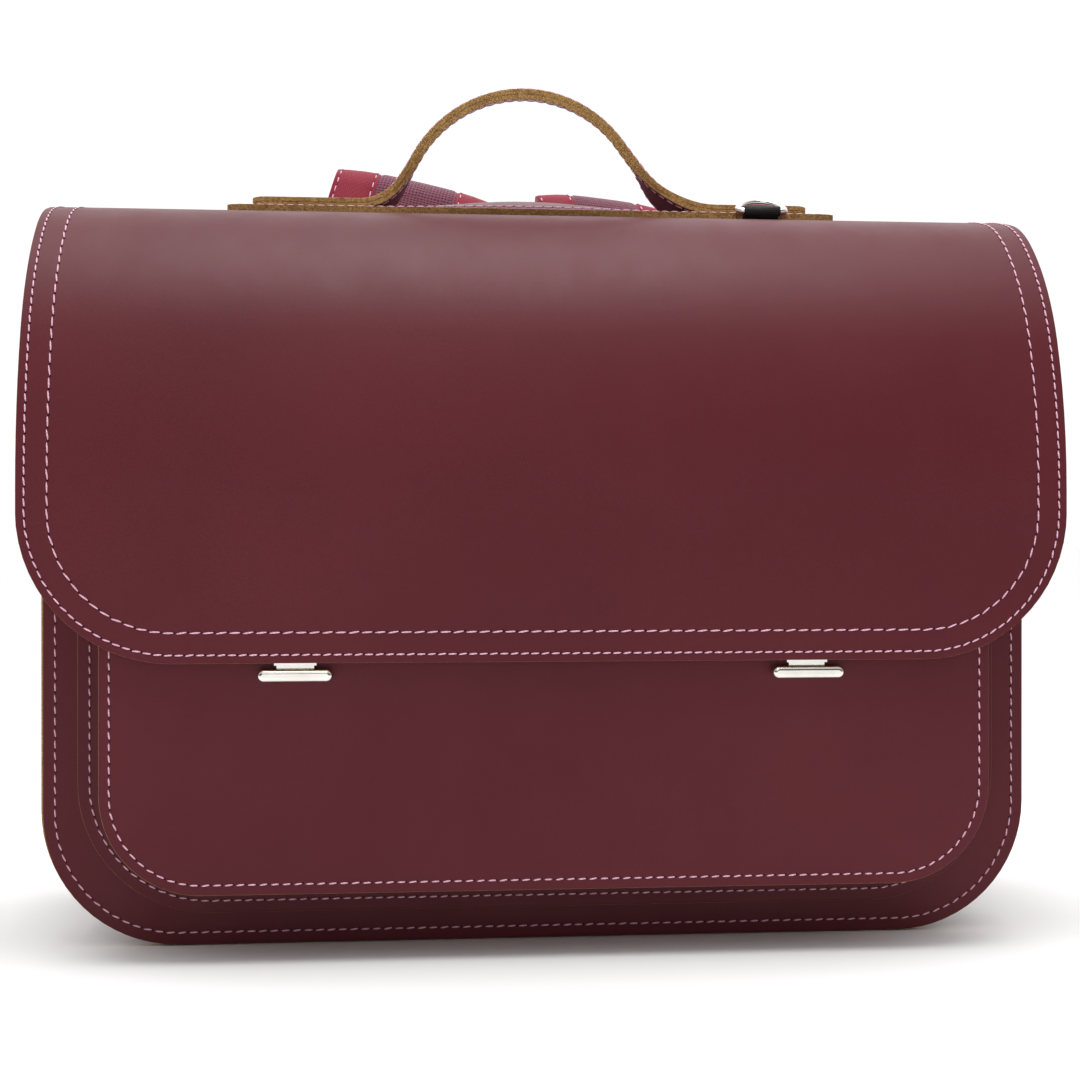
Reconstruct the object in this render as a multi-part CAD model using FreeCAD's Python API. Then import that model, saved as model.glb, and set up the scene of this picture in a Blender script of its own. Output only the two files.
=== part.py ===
"""School satchel that is also worn on the back, in thick leather with raw edges.

Millimetres, +Z up, +X to the bag's right as it is looked at from the front, +Y to its back.
The origin is on the floor, at the middle of the front seam between front panel and gusset.
"""
import FreeCAD, Part
import os
from math import acos, atan2, cos, degrees, hypot, radians, sin, tan

Vector = FreeCAD.Vector
X_AXIS = Vector(1, 0, 0)
Y_AXIS = Vector(0, 1, 0)
ORIGIN = Vector(0, 0, 0)
overshoot = 1.0             # cutting shapes reach this far past what they cut

# ---- main body -------------------------------------------------------------------------
body_width = 399.0          # over the gusset's flanges
body_depth = 120.0          # over the front and back panels
back_height = 284.0         # floor to the back panel's top edge
front_drop = 12.0           # the front panel and gusset end this far below the back panel
corner_radius = 54.0        # the gusset flange's two bottom corners
panel_thick = 3.0
panel_setback = 1.2         # the flange shows this far past the panel's edge at the sides
panel_lift = 0.5            # and this far below it
flange_thick = 2.4
flange_width = 9.5
web_thick = 2.4

# ---- front pocket ----------------------------------------------------------------------
pocket_margin = 28.5        # body's edge to the pocket front's edge, left and right
pocket_lift = 27.0          # floor to the pocket front's bottom edge
pocket_depth = 36.0         # front panel's face to the pocket front's face
pocket_corner = 38.0
pocket_thick = 2.5
pocket_flange_out = 13.5    # the rear flange's edge stands this far outside the pocket front
pocket_web_inset = 1.0      # the web lies this far inside the pocket front's edge
pocket_flange_in = 8.0      # width of the front flange, which turns inward

# ---- flap ------------------------------------------------------------------------------
flap_overhang = 0.5         # past the gusset's flange, each side
flap_bottom = 114.6         # floor to the flap's lower edge
flap_corner = 57.0
flap_thick = 2.8
border_thick = 1.2          # lining strip sewn round the reverse of the flap's edge
border_width = 22.0
flap_gap = 2.0              # border strip to pocket front
crown_rise = 9.8            # back edge of the three front bends above the back panel's top
shoulder_bends = ((191.0, 18.0), (97.5, 31.0), (54.0, 24.4))    # radius and turn, going up
pocket_top_rise = 8.0       # the pocket's mouth is this far above the start of the bends
fold_gap = 0.3              # clearance under the rolled fold at the flap's back edge
tail_height = 22.0          # part of the flap that is sewn down on the back panel
border_reach = 250.0        # height at which the border strip ends

# ---- catches ---------------------------------------------------------------------------
lock_spacing = 196.0        # between the two catches' centres
bar_length = 28.0
bar_height = 4.8
bar_depth = 4.8
bar_drop = 2.5              # flap's lower edge to the bar's top
neck_width = 14.0
neck_thick = 1.0
neck_lift = 0.3             # neck to pocket leather, and pull bar to neck
neck_front_gap = 0.2        # neck to the case's front wall
case_wall = 0.5
case_width = 24.0
case_side_wall = 1.0
case_low = 1.6              # case's bottom above the flap's lower edge
case_height = 24.0
case_back = 4.5             # the case reaches this far behind the pocket's face
mouth_wall = 0.6
mouth_length = 2.8
wing_width = 5.0            # riveted wings, one each side of the case
wing_thick = 0.8
wing_inset = 1.5            # wings' ends to the case's ends
wing_rivet_inset = 3.0      # rivets' centres to the wings' ends
back_plate_thick = 1.0
back_plate_rim = 3.0        # above and below the case
slide_travel = 3.0
spring_pressed = 3.0        # springs' height when the bar is pulled right down
carriage_height = 4.0
slide_play = 0.3
spring_wire = 0.25          # radius
spring_radius = 1.3
spring_turns = 4
spring_spacing = 13.0
tongue_width = 14.5
tongue_thick = 0.9
tongue_low = 5.0            # tongue plate's bottom above the flap's lower edge
tongue_height = 34.0
nose_width = 7.0
nose_height = 3.0
nose_gap = 1.5              # nose's underside above the carriage
nose_reach = 3.1
window_play = 0.5           # beside and below the nose
window_swing = 5.0          # above the nose, for its way out as the flap lifts
notch_play = 0.6            # border strip to the catch's wings
rivet_radius = 1.1
rivet_head_radius = 1.8
rivet_head = 0.5
hole_play = 0.05
tongue_rivet_inset = 3.5    # upper rivet's centre to the tongue plate's top
tongue_rivet_pitch = 6.0
tongue_rivet_depth = 1.6    # blind in the flap's leather, so that nothing shows in front

# ---- handle ----------------------------------------------------------------------------
handle_back = 5.0           # handle's middle behind the middle of the body
plate_length = 262.0
plate_width = 50.0
plate_thick = 2.8
plate_corner = 8.0
handle_layer = 2.15         # the strap is two layers, sewn back to back
handle_width = 28.0
handle_rise = 50.0          # arch's top above the strap's flat ends
handle_top_radius = 54.0
handle_left_bend = (20.0, 60.0)     # radius and slope of the left foot of the arch
handle_right_bend = (36.0, 51.0)
handle_top_x = -3.7
handle_half_length = 121.0
handle_end_radius = 6.0
handle_seat = 0.022         # strap's ends to the plate's highest line under them
leather_seat = 0.1          # between curved pieces of leather that are sewn together

# ---- ring on the handle plate ----------------------------------------------------------
ring_x = 97.0
ring_wire = 1.5             # radius
ring_half_bar = 8.2
ring_corner = 1.8
ring_corner_turn = 100.0
ring_lean = 25.0            # the ring lies back over the plate, this far up from it
ring_forward = 3.4          # bar's centre in front of the plate's edge
ring_height = 3.4           # and above the flap
ring_bore_play = 0.1
loop_thick = 0.75
loop_width = 15.6
loop_tuck = 8.0
loop_tail = 1.4

# ---- shoulder straps -------------------------------------------------------------------
strap_spacing = 84.0
strap_width = 70.0
strap_thick = 9.0
strap_tilt = 14.0           # the straps spread towards the bottom by this angle
strap_end_thick = 2.4       # unpadded end, held under the anchor patch
strap_end_width = 40.0
strap_end_length = 38.0
strap_end_rise = 2.0        # straight run above the patch before it leans away
strap_end_grip = 2.0        # the thin end reaches this far into the pad
strap_lean_bend = (25.0, 24.0)
strap_end_run = 15.0
strap_lean_run = 62.0
strap_top_bend = (13.0, 152.0)
strap_bow = 32.0            # turn of the long bow behind the wearer's shoulder
strap_foot_bend = (80.0, 28.0)
strap_foot = 122.0          # floor to the padded part's lower end, before it is spread
strap_corner = 14.0
anchor_drop = 42.0          # back panel's top to the anchor patch's top
anchor_height = 44.0
anchor_side = 12.0          # patch's edge outside the outer edge of the strap ends
anchor_thick = 2.5
anchor_rim = 5.0

# ---- strap adjusters, webbing and lower tabs --------------------------------------------
web_width = 25.0
web_sheet = 1.6
adjuster_bar = 1.5          # radius of the three bars
adjuster_gap = 9.5          # between bars' centres
adjuster_side = 3.0
adjuster_play = 1.0         # webbing's edge to the side rails
wrap_play = 0.2
tag_width = 22.0            # short loop that holds the adjuster to the pad
tag_drop = 7.0              # pad's lower end to the adjuster's top bar
web_tail = 48.0
tab_lift = 26.0             # floor to the tab's lower end, before it is spread
tab_length = 34.0
tab_width = 36.0
tab_thick = 2.5
tab_rim = 4.0
web_bend = 20.0

# ---- places that follow from the sizes --------------------------------------------------
panel_face = -flange_thick / 2 - panel_thick
seam_front = -flange_thick / 2
back_face = panel_face + body_depth
seam_back = back_face - panel_thick
body_middle = (panel_face + back_face) / 2
front_top = back_height - front_drop
pocket_face = panel_face - pocket_depth
pocket_half = body_width / 2 - pocket_margin
flap_face = pocket_face - flap_gap - border_thick - leather_seat - flap_thick
flap_half = body_width / 2 + flap_overhang
hinge_y = back_face + flap_thick / 2
hinge_z = back_height + flap_thick / 2 + 2 * fold_gap
handle_y = body_middle + handle_back
case_bottom = flap_bottom + case_low
case_top = case_bottom + case_height
neck_front = pocket_face - neck_lift - neck_thick
case_front = neck_front - neck_front_gap - case_wall
carriage_low = slide_travel + spring_pressed


def save(name, shape):
    """Write one sub-part."""
    shape.exportStep("parts/" + name + ".step")


def box(low, high):
    """Block between two corners."""
    size = Vector(*high) - Vector(*low)
    return Part.makeBox(size.x, size.y, size.z, Vector(*low))


def cylinder(radius, low, length, axis):
    """Round bar from a point along an axis."""
    return Part.makeCylinder(radius, length, Vector(*low), axis)


def side_plane(x):
    """Place (y, z) points in the plane at x, looking at the bag from its side."""
    return lambda y, z: Vector(x, y, z)


def front_plane(y):
    """Place (x, z) points in the plane at y, looking at the bag from the front."""
    return lambda x, z: Vector(x, y, z)


def walk(start, heading, moves, side=0.0):
    """Points of a line of straight runs (length, 0) and bends (radius, turn).

    Turns are positive to the left. The line runs parallel to the path, side to its left.
    The result is a list of point tuples, two for a run and three for a bend, and the heading.
    """
    angle = radians(heading)
    here = (start[0] - side * sin(angle), start[1] + side * cos(angle))
    pieces = []
    for size, turn in moves:
        if turn == 0:
            end = (here[0] + size * cos(angle), here[1] + size * sin(angle))
            pieces.append((here, end))
            here = end
            continue
        way = 1 if turn > 0 else -1
        radius = size - way * side
        centre = (here[0] - way * radius * sin(angle), here[1] + way * radius * cos(angle))
        points = [here]
        for share in (0.5, 1.0):
            there = angle + radians(turn) * share
            points.append((centre[0] + way * radius * sin(there),
                           centre[1] - way * radius * cos(there)))
        pieces.append(tuple(points))
        here = points[-1]
        angle += radians(turn)
    return pieces, degrees(angle)


def end_of(start, heading, moves):
    """Last point and heading of a path."""
    pieces, last_heading = walk(start, heading, moves)
    return pieces[-1][-1], last_heading


def edges_of(pieces, plane):
    """Edges in space for the pieces of a path."""
    edges = []
    for points in pieces:
        corners = [plane(*point) for point in points]
        if len(corners) == 2:
            edges.append(Part.makeLine(corners[0], corners[1]))
        else:
            edges.append(Part.Arc(corners[0], corners[1], corners[2]).toShape())
    return edges


def sheet(start, heading, moves, left, right, plane, push, round_end=False):
    """Bent sheet between two lines parallel to a path, pushed out to its width."""
    one, heading_out = walk(start, heading, moves, left)
    other, _ = walk(start, heading, moves, right)
    edges = edges_of(one, plane) + edges_of(other, plane)
    edges.append(Part.makeLine(plane(*one[0][0]), plane(*other[0][0])))
    first = one[-1][-1]
    last = other[-1][-1]
    if round_end:
        radius = abs(left - right) / 2
        tip = ((first[0] + last[0]) / 2 + radius * cos(radians(heading_out)),
               (first[1] + last[1]) / 2 + radius * sin(radians(heading_out)))
        edges.append(Part.Arc(plane(*first), plane(*tip), plane(*last)).toShape())
    else:
        edges.append(Part.makeLine(plane(*first), plane(*last)))
    outline = Part.Wire(Part.__sortEdges__(edges))
    return Part.Face(outline).extrude(push)


def tub(half, low, high, corner, near, far):
    """Plate or block with a square top and two round bottom corners, from near to far in y."""
    left_heel = half - corner
    moves = [(high - low - corner, 0), (corner, 90), (2 * left_heel, 0),
             (corner, 90), (high - low - corner, 0)]
    pieces, _ = walk((-half, high), -90, moves)
    edges = edges_of(pieces, front_plane(near))
    edges.append(Part.makeLine(Vector(half, near, high), Vector(-half, near, high)))
    return Part.Face(Part.Wire(edges)).extrude(Vector(0, far - near, 0))


def tub_band(half, low, high, corner, width, near, far):
    """Open-topped band of a tub's outline, width measured inward."""
    outer = tub(half, low, high, corner, near, far)
    inner = tub(half - width, low + width, high + overshoot, corner - width, near, far)
    return outer.cut(inner)


def rounded_plate(length, width, radius, low, high, middle):
    """Upright prism with a rounded rectangle outline, middle given as (x, y)."""
    moves = []
    for run in (length, width, length, width):
        moves.append((run - 2 * radius, 0))
        moves.append((radius, 90))
    start = (middle[0] - length / 2 + radius, middle[1] - width / 2)
    pieces, _ = walk(start, 0, moves)
    outline = Part.Wire(edges_of(pieces, lambda x, y: Vector(x, y, low)))
    return Part.Face(outline).extrude(Vector(0, 0, high - low))


# ---- body ------------------------------------------------------------------------------
def body_panel(near, far, top):
    """Front or back panel, a little smaller than the gusset's flange."""
    shrink = panel_setback
    return tub(body_width / 2 - shrink, panel_lift, top, corner_radius - shrink, near, far)


def main_gusset():
    """Band down one side, along the bottom and up the other, with both edges turned out."""
    half = body_width / 2
    front = tub_band(half, 0, front_top, corner_radius, flange_width + web_thick,
                     seam_front, seam_front + flange_thick)
    back = tub_band(half, 0, front_top, corner_radius, flange_width + web_thick,
                    seam_back - flange_thick, seam_back)
    web = tub_band(half - flange_width, flange_width, front_top, corner_radius - flange_width,
                   web_thick, seam_front, seam_back)
    return front.fuse([back, web]).removeSplitter()


# ---- pocket ----------------------------------------------------------------------------
def rivet_hole(spot, near, depth):
    """Cutter for a rivet at a place (x, z), through a wall that starts at near in y."""
    return cylinder(rivet_radius + hole_play, (spot[0], near - overshoot, spot[1]),
                    depth + 2 * overshoot, Y_AXIS)


def bends_rise():
    """Height and depth that the flap's three front bends take up."""
    moves = [(radius, -turn) for radius, turn in shoulder_bends]
    point, _ = end_of((0, 0), 90, moves)
    return point


bend_depth, bend_height = bends_rise()
bends_start = back_height + crown_rise - bend_height
pocket_top = bends_start + pocket_top_rise


def pocket_front():
    """Pocket's front, cut out for the two catches and their rivets."""
    panel = tub(pocket_half, pocket_lift, pocket_top, pocket_corner,
                pocket_face, pocket_face + pocket_thick)
    for x in (-lock_spacing / 2, lock_spacing / 2):
        play = 2 * hole_play
        hole = box((x - case_width / 2 - play, pocket_face - overshoot, case_bottom - play),
                   (x + case_width / 2 + play, pocket_face + pocket_thick + overshoot, case_top + play))
        panel = panel.cut(hole)
        for spot in rivet_spots(x):
            panel = panel.cut(rivet_hole(spot, pocket_face, pocket_thick))
    return panel


def pocket_gusset():
    """Pocket's band, its rear edge turned out on the front panel, its front edge turned in."""
    half = pocket_half - pocket_web_inset
    low = pocket_lift + pocket_web_inset
    corner = pocket_corner - pocket_web_inset
    front = pocket_face + pocket_thick
    web = tub_band(half, low, pocket_top, corner, web_thick, front, panel_face)
    inner = tub_band(half, low, pocket_top, corner, pocket_flange_in, front, front + flange_thick)
    out = pocket_flange_out
    rear = tub_band(pocket_half + out, pocket_lift - out, pocket_top, pocket_corner + out,
                    out + pocket_web_inset + web_thick, panel_face - flange_thick, panel_face)
    return web.fuse([inner, rear]).removeSplitter()


# ---- flap ------------------------------------------------------------------------------
def flap_moves(bottom):
    """Up the front, round three bends, and one long crown that lands on the fold's axis."""
    moves = [(bends_start - bottom, 0)]
    moves += [(radius, -turn) for radius, turn in shoulder_bends]
    neutral = flap_thick / 2
    line, heading = walk((flap_face, bottom), 90, moves, -neutral)
    here = line[-1][-1]
    chord_angle = degrees(atan2(hinge_z - here[1], hinge_y - here[0]))
    half_turn = heading - chord_angle
    chord = hypot(hinge_y - here[0], hinge_z - here[1])
    crown_radius = chord / (2 * sin(radians(half_turn))) + neutral
    moves.append((crown_radius, -2 * half_turn))
    return moves


def crown():
    """Centre (y, z) and outer radius of the flap's crown."""
    moves = flap_moves(flap_bottom)
    start, heading = end_of((flap_face, flap_bottom), 90, moves[:-1])
    radius = moves[-1][0]
    centre = (start[0] + radius * sin(radians(heading)), start[1] - radius * cos(radians(heading)))
    return centre, radius


def flap_outline(margin):
    """Prism that rounds the flap's lower corners, margin inside its edge."""
    return tub(flap_half - margin, flap_bottom + margin, 2 * back_height, flap_corner - margin,
               flap_face - overshoot, hinge_y + flap_thick)


def tongue_rivet_spots(x):
    """The two rivets that hold a tongue plate to the flap."""
    top = flap_bottom + tongue_low + tongue_height
    upper = top - tongue_rivet_inset
    return [(x, upper), (x, upper - tongue_rivet_pitch)]


def flap_leather():
    """One sheet from its lower edge over the crown to the fold, with the rivets' blind holes."""
    moves = flap_moves(flap_bottom)
    leather = sheet((flap_face, flap_bottom), 90, moves, 0, -flap_thick,
                    side_plane(-flap_half), Vector(2 * flap_half, 0, 0), round_end=True)
    leather = leather.common(flap_outline(0))
    inside = flap_face + flap_thick
    for x in (-lock_spacing / 2, lock_spacing / 2):
        for spot in tongue_rivet_spots(x):
            leather = leather.cut(cylinder(rivet_radius + hole_play,
                                           (spot[0], inside - tongue_rivet_depth - hole_play, spot[1]),
                                           tongue_rivet_depth + overshoot, Y_AXIS))
    return leather


def flap_border_strip():
    """Thin strip sewn round the reverse of the flap, notched at the catches."""
    moves = flap_moves(flap_bottom)
    near = -flap_thick - leather_seat
    strip = sheet((flap_face, flap_bottom), 90, moves, near, near - border_thick,
                  side_plane(-flap_half), Vector(2 * flap_half, 0, 0))
    strip = strip.common(flap_outline(0)).cut(flap_outline(border_width))
    strip = strip.common(box((-flap_half, flap_face, flap_bottom), (flap_half, 0, border_reach)))
    reach = case_width / 2 + wing_width + notch_play
    for x in (-lock_spacing / 2, lock_spacing / 2):
        strip = strip.cut(box((x - reach, flap_face, flap_bottom - overshoot),
                              (x + reach, pocket_face, flap_bottom + border_width + overshoot)))
    return strip


def flap_tail():
    """Lower run of the flap's back edge, sewn down on the back panel below the fold."""
    top = hinge_z - flap_thick / 2 - fold_gap
    return box((-flap_half, back_face, top - tail_height), (flap_half, back_face + flap_thick, top))


# ---- catches ---------------------------------------------------------------------------
def rivet_spots(x):
    """Four rivets of one case, two in each wing."""
    reach = case_width / 2 + wing_width / 2
    low = case_bottom + wing_inset + wing_rivet_inset
    high = case_top - wing_inset - wing_rivet_inset
    return [(x + side * reach, z) for side in (-1, 1) for z in (low, high)]


def lock_case(x):
    """Hollow case let into the pocket's leather, with riveted wings and a mouth for the neck."""
    half = case_width / 2
    case = box((x - half, case_front, case_bottom), (x + half, pocket_face + case_back, case_top))
    wings = box((x - half - wing_width, pocket_face - wing_thick, case_bottom + wing_inset),
                (x + half + wing_width, pocket_face, case_top - wing_inset))
    mouth_half = neck_width / 2 + slide_play + mouth_wall
    mouth = box((x - mouth_half, case_front, case_bottom - mouth_length),
                (x + mouth_half, pocket_face, case_bottom))
    shell = case.fuse([wings, mouth])
    wall = case_side_wall
    hollow = box((x - half + wall, case_front + case_wall, case_bottom + wall),
                 (x + half - wall, pocket_face + case_back - wall, case_top - wall))
    slot = box((x - neck_width / 2 - slide_play, case_front + case_wall,
                case_bottom - mouth_length - overshoot),
               (x + neck_width / 2 + slide_play, pocket_face + overshoot, case_bottom + 2 * wall))
    nose_bottom = nose_low()
    window = box((x - nose_width / 2 - window_play, case_front - overshoot, nose_bottom - window_play),
                 (x + nose_width / 2 + window_play, case_front + 2 * case_wall,
                  nose_bottom + nose_height + window_swing))
    shell = shell.cut([hollow, slot, window])
    for spot in rivet_spots(x):
        shell = shell.cut(rivet_hole(spot, pocket_face - wing_thick, wing_thick))
    return shell.removeSplitter()


def carriage_bottom():
    """Underside of the slide's carriage, above the springs."""
    return case_bottom + case_side_wall + carriage_low


def nose_low():
    """Underside of the tongue's nose, just above the carriage."""
    return carriage_bottom() + carriage_height + nose_gap


def lock_slide(x):
    """Pull bar, neck and carriage in one piece, which the thumb draws down."""
    bar_top = flap_bottom - bar_drop
    bar_back = pocket_face - 2 * neck_lift
    half = bar_length / 2 - bar_height / 2
    middle = bar_top - bar_height / 2
    bar = box((x - half, bar_back - bar_depth, middle - bar_height / 2),
              (x + half, bar_back, middle + bar_height / 2))
    for side in (-1, 1):
        bar = bar.fuse(cylinder(bar_height / 2, (x + side * half, bar_back - bar_depth, middle),
                                bar_depth, Y_AXIS))
    bar = bar.removeSplitter()
    front_edges = [edge for edge in bar.Edges
                   if edge.BoundBox.YMax < bar_back - bar_depth + hole_play]
    bar = bar.makeFillet(bar_height / 3, front_edges)
    neck = box((x - neck_width / 2, neck_front, middle),
               (x + neck_width / 2, pocket_face - neck_lift, carriage_bottom() + carriage_height))
    reach = case_width / 2 - case_side_wall - slide_play
    carriage = box((x - reach, neck_front, carriage_bottom()),
                   (x + reach, pocket_face + case_back - case_side_wall - slide_play,
                    carriage_bottom() + carriage_height))
    return bar.fuse([neck, carriage]).removeSplitter()


def lock_springs(x):
    """Two coil springs under the carriage."""
    low = case_bottom + case_side_wall + spring_wire
    height = carriage_low - 2 * spring_wire
    coils = []
    for side in (-1, 1):
        centre = Vector(x + side * spring_spacing / 2, spring_y(), low)
        helix = Part.makeHelix(height / spring_turns, height, spring_radius)
        start = helix.Vertexes[0].Point
        ring = Part.Wire(Part.makeCircle(spring_wire, start, Y_AXIS))
        coil = Part.Wire(helix.Edges).makePipeShell([ring], True, True)
        coil.translate(centre)
        coils.append(coil)
    return Part.Compound(coils)


def spring_y():
    """Springs stand in the middle of the case's deep part, behind the neck."""
    return (pocket_face - neck_lift + pocket_face + case_back - case_side_wall) / 2


def lock_back_plate(x):
    """Plate inside the pocket that the case's rivets are set on."""
    near = pocket_face + pocket_thick
    reach = case_width / 2 + wing_width
    plate = box((x - reach, near, case_bottom - back_plate_rim),
                (x + reach, near + back_plate_thick, case_top + back_plate_rim))
    play = 2 * hole_play
    hole = box((x - case_width / 2 - play, near - overshoot, case_bottom - play),
               (x + case_width / 2 + play, near + back_plate_thick + overshoot, case_top + play))
    plate = plate.cut(hole)
    for spot in rivet_spots(x):
        plate = plate.cut(rivet_hole(spot, near, back_plate_thick))
    return plate


def lock_rivets():
    """Eight rivets that clamp the two cases to their back plates."""
    near = pocket_face - wing_thick
    far = pocket_face + pocket_thick + back_plate_thick
    rivets = []
    for x in (-lock_spacing / 2, lock_spacing / 2):
        for spot in rivet_spots(x):
            shank = cylinder(rivet_radius, (spot[0], near - rivet_head, spot[1]),
                             far - near + 2 * rivet_head, Y_AXIS)
            front = cylinder(rivet_head_radius, (spot[0], near - rivet_head, spot[1]),
                             rivet_head, Y_AXIS)
            back = cylinder(rivet_head_radius, (spot[0], far, spot[1]), rivet_head, Y_AXIS)
            rivets.append(shank.fuse([front, back]).removeSplitter())
    return Part.Compound(rivets)


def lock_tongue(x):
    """Plate on the flap's reverse, with the nose that goes into the case's window."""
    inside = flap_face + flap_thick
    low = flap_bottom + tongue_low
    plate = box((x - tongue_width / 2, inside, low),
                (x + tongue_width / 2, inside + tongue_thick, low + tongue_height))
    nose = box((x - nose_width / 2, inside, nose_low()),
               (x + nose_width / 2, inside + tongue_thick + nose_reach, nose_low() + nose_height))
    tongue = plate.fuse(nose)
    for spot in tongue_rivet_spots(x):
        tongue = tongue.cut(rivet_hole(spot, inside, tongue_thick))
    return tongue.removeSplitter()


def tongue_rivets():
    """Four short rivets, blind in the flap's leather."""
    inside = flap_face + flap_thick
    rivets = []
    for x in (-lock_spacing / 2, lock_spacing / 2):
        for spot in tongue_rivet_spots(x):
            shank = cylinder(rivet_radius, (spot[0], inside - tongue_rivet_depth, spot[1]),
                             tongue_rivet_depth + tongue_thick, Y_AXIS)
            head = cylinder(rivet_head_radius, (spot[0], inside + tongue_thick, spot[1]),
                            rivet_head, Y_AXIS)
            rivets.append(shank.fuse(head).removeSplitter())
    return Part.Compound(rivets)


# ---- handle ----------------------------------------------------------------------------
(crown_y, crown_z), crown_radius = crown()
plate_front = handle_y - plate_width / 2


def on_crown(y):
    """Height of the flap's outer face at a depth on the crown."""
    return crown_z + (crown_radius ** 2 - (y - crown_y) ** 2) ** 0.5


def ring_frame(shape):
    """Turn and move a shape made at the origin to the flap's face at the plate's front edge."""
    lean = degrees(atan2(crown_y - plate_front, on_crown(plate_front) - crown_z))
    shape.rotate(ORIGIN, X_AXIS, lean)
    shape.translate(Vector(ring_x, plate_front, on_crown(plate_front)))
    return shape


def handle_plate():
    """Long plate sewn to the crown, hollowed underneath for the ring loop's tail."""
    low = (-plate_length / 2 - overshoot, crown_y, crown_z)
    length = plate_length + 2 * overshoot
    seat = crown_radius + leather_seat
    outer = cylinder(seat + plate_thick, low, length, X_AXIS)
    inner = cylinder(seat, low, length, X_AXIS)
    outline = rounded_plate(plate_length, plate_width, plate_corner, crown_z, crown_z + 2 * crown_radius,
                            (0, handle_y))
    recess = box((-loop_width / 2 - hole_play, -overshoot, -overshoot),
                 (loop_width / 2 + hole_play, loop_tuck + hole_play, loop_tail + 3 * hole_play))
    return outer.cut(inner).common(outline).cut(ring_frame(recess))


def handle_moves():
    """Strap's middle line, from its left end over the arch to its right end."""
    left_radius, left_slope = handle_left_bend
    right_radius, right_slope = handle_right_bend
    top = handle_top_radius
    flanks = []
    reaches = []
    for radius, slope in (handle_left_bend, handle_right_bend):
        turn = radians(slope)
        flank = (handle_rise - (radius + top) * (1 - cos(turn))) / sin(turn)
        flanks.append(flank)
        reaches.append((radius + top) * sin(turn) + flank * cos(turn))
    left_flat = handle_half_length + handle_top_x - reaches[0]
    right_flat = handle_half_length - handle_top_x - reaches[1]
    return [(left_flat, 0), (left_radius, left_slope), (flanks[0], 0),
            (top, -left_slope - right_slope), (flanks[1], 0),
            (right_radius, right_slope), (right_flat, 0)]


def handle_layer_solid(left, right):
    """One of the strap's two leather layers, with rounded ends."""
    near = handle_y - handle_width / 2
    highest = min(max(crown_y, near), near + handle_width)
    middle = on_crown(highest) + leather_seat + plate_thick + handle_seat + handle_layer
    layer = sheet((-handle_half_length, middle), 0, handle_moves(), left, right,
                  front_plane(near), Vector(0, handle_width, 0))
    outline = rounded_plate(2 * handle_half_length, handle_width, handle_end_radius,
                            middle - handle_rise, middle + 2 * handle_rise, (0, handle_y))
    return layer.common(outline)


# ---- ring ------------------------------------------------------------------------------
def ring_loop():
    """Webbing that wraps the ring's bar and is tucked under the plate."""
    outer = ring_wire + ring_bore_play + loop_thick
    half = loop_width / 2
    wrap = cylinder(outer, (-half, -ring_forward, ring_height), loop_width, X_AXIS)
    tail = box((-half, -ring_forward, hole_play), (half, loop_tuck, loop_tail + hole_play))
    bore = cylinder(ring_wire + ring_bore_play, (-half - overshoot, -ring_forward, ring_height),
                    loop_width + 2 * overshoot, X_AXIS)
    return ring_frame(wrap.fuse(tail).removeSplitter().cut(bore))


def d_ring():
    """Bent wire ring with a straight bar, lying back over the plate."""
    turn = radians(ring_corner_turn)
    arch = ring_corner + ring_half_bar / sin(turn)
    half_arch = 180 - ring_corner_turn
    moves = [(ring_half_bar, 0), (ring_corner, ring_corner_turn), (arch, 2 * half_arch),
             (ring_corner, ring_corner_turn), (ring_half_bar, 0)]
    pieces, _ = walk((0, 0), 0, moves)
    path = Part.Wire(edges_of(pieces, lambda x, y: Vector(x, y, 0)))
    section = Part.Wire(Part.makeCircle(ring_wire, ORIGIN, X_AXIS))
    ring = path.makePipeShell([section], True, True)
    ring.rotate(ORIGIN, X_AXIS, ring_lean)
    ring.translate(Vector(0, -ring_forward, ring_height))
    return ring_frame(ring)


# ---- shoulder straps -------------------------------------------------------------------
anchor_top = back_height - anchor_drop
strap_line = back_face + strap_end_thick / 2


def strap_tongue_moves():
    """Unpadded end: flat under the patch, then leaning away from the back."""
    radius, turn = strap_lean_bend
    return [(strap_end_length + strap_end_rise, 0), (radius, -turn), (strap_end_run, 0)]


def strap_pad_moves(start, heading):
    """Padded part: on up, over the top, and down in a long bow to its lower end."""
    top_radius, top_turn = strap_top_bend
    foot_radius, foot_turn = strap_foot_bend
    rise = [(strap_lean_run, 0), (top_radius, -top_turn)]
    peak_end, down = end_of(start, heading, rise)
    low_heading = down - strap_bow
    fall = (peak_end[1] - strap_foot) - foot_radius * abs(cos(radians(low_heading)))
    bow_radius = fall / (cos(radians(down)) - cos(radians(low_heading)))
    return rise + [(bow_radius, -strap_bow), (foot_radius, foot_turn)]


tongue_start = (strap_line, anchor_top - strap_end_length)
pad_start, pad_heading = end_of(tongue_start, 90, strap_tongue_moves())
pad_end, _ = end_of(pad_start, pad_heading, strap_pad_moves(pad_start, pad_heading))
strap_peak = end_of(pad_start, pad_heading, [(strap_lean_run, 0)])[0][1] + strap_thick / 2


def spread(shape, side):
    """Place a strap's piece left or right, tilted outwards about the strap's top."""
    shape.translate(Vector(side * strap_spacing / 2, 0, 0))
    shape.rotate(Vector(side * strap_spacing / 2, 0, strap_peak), Y_AXIS, -side * strap_tilt)
    return shape


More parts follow.
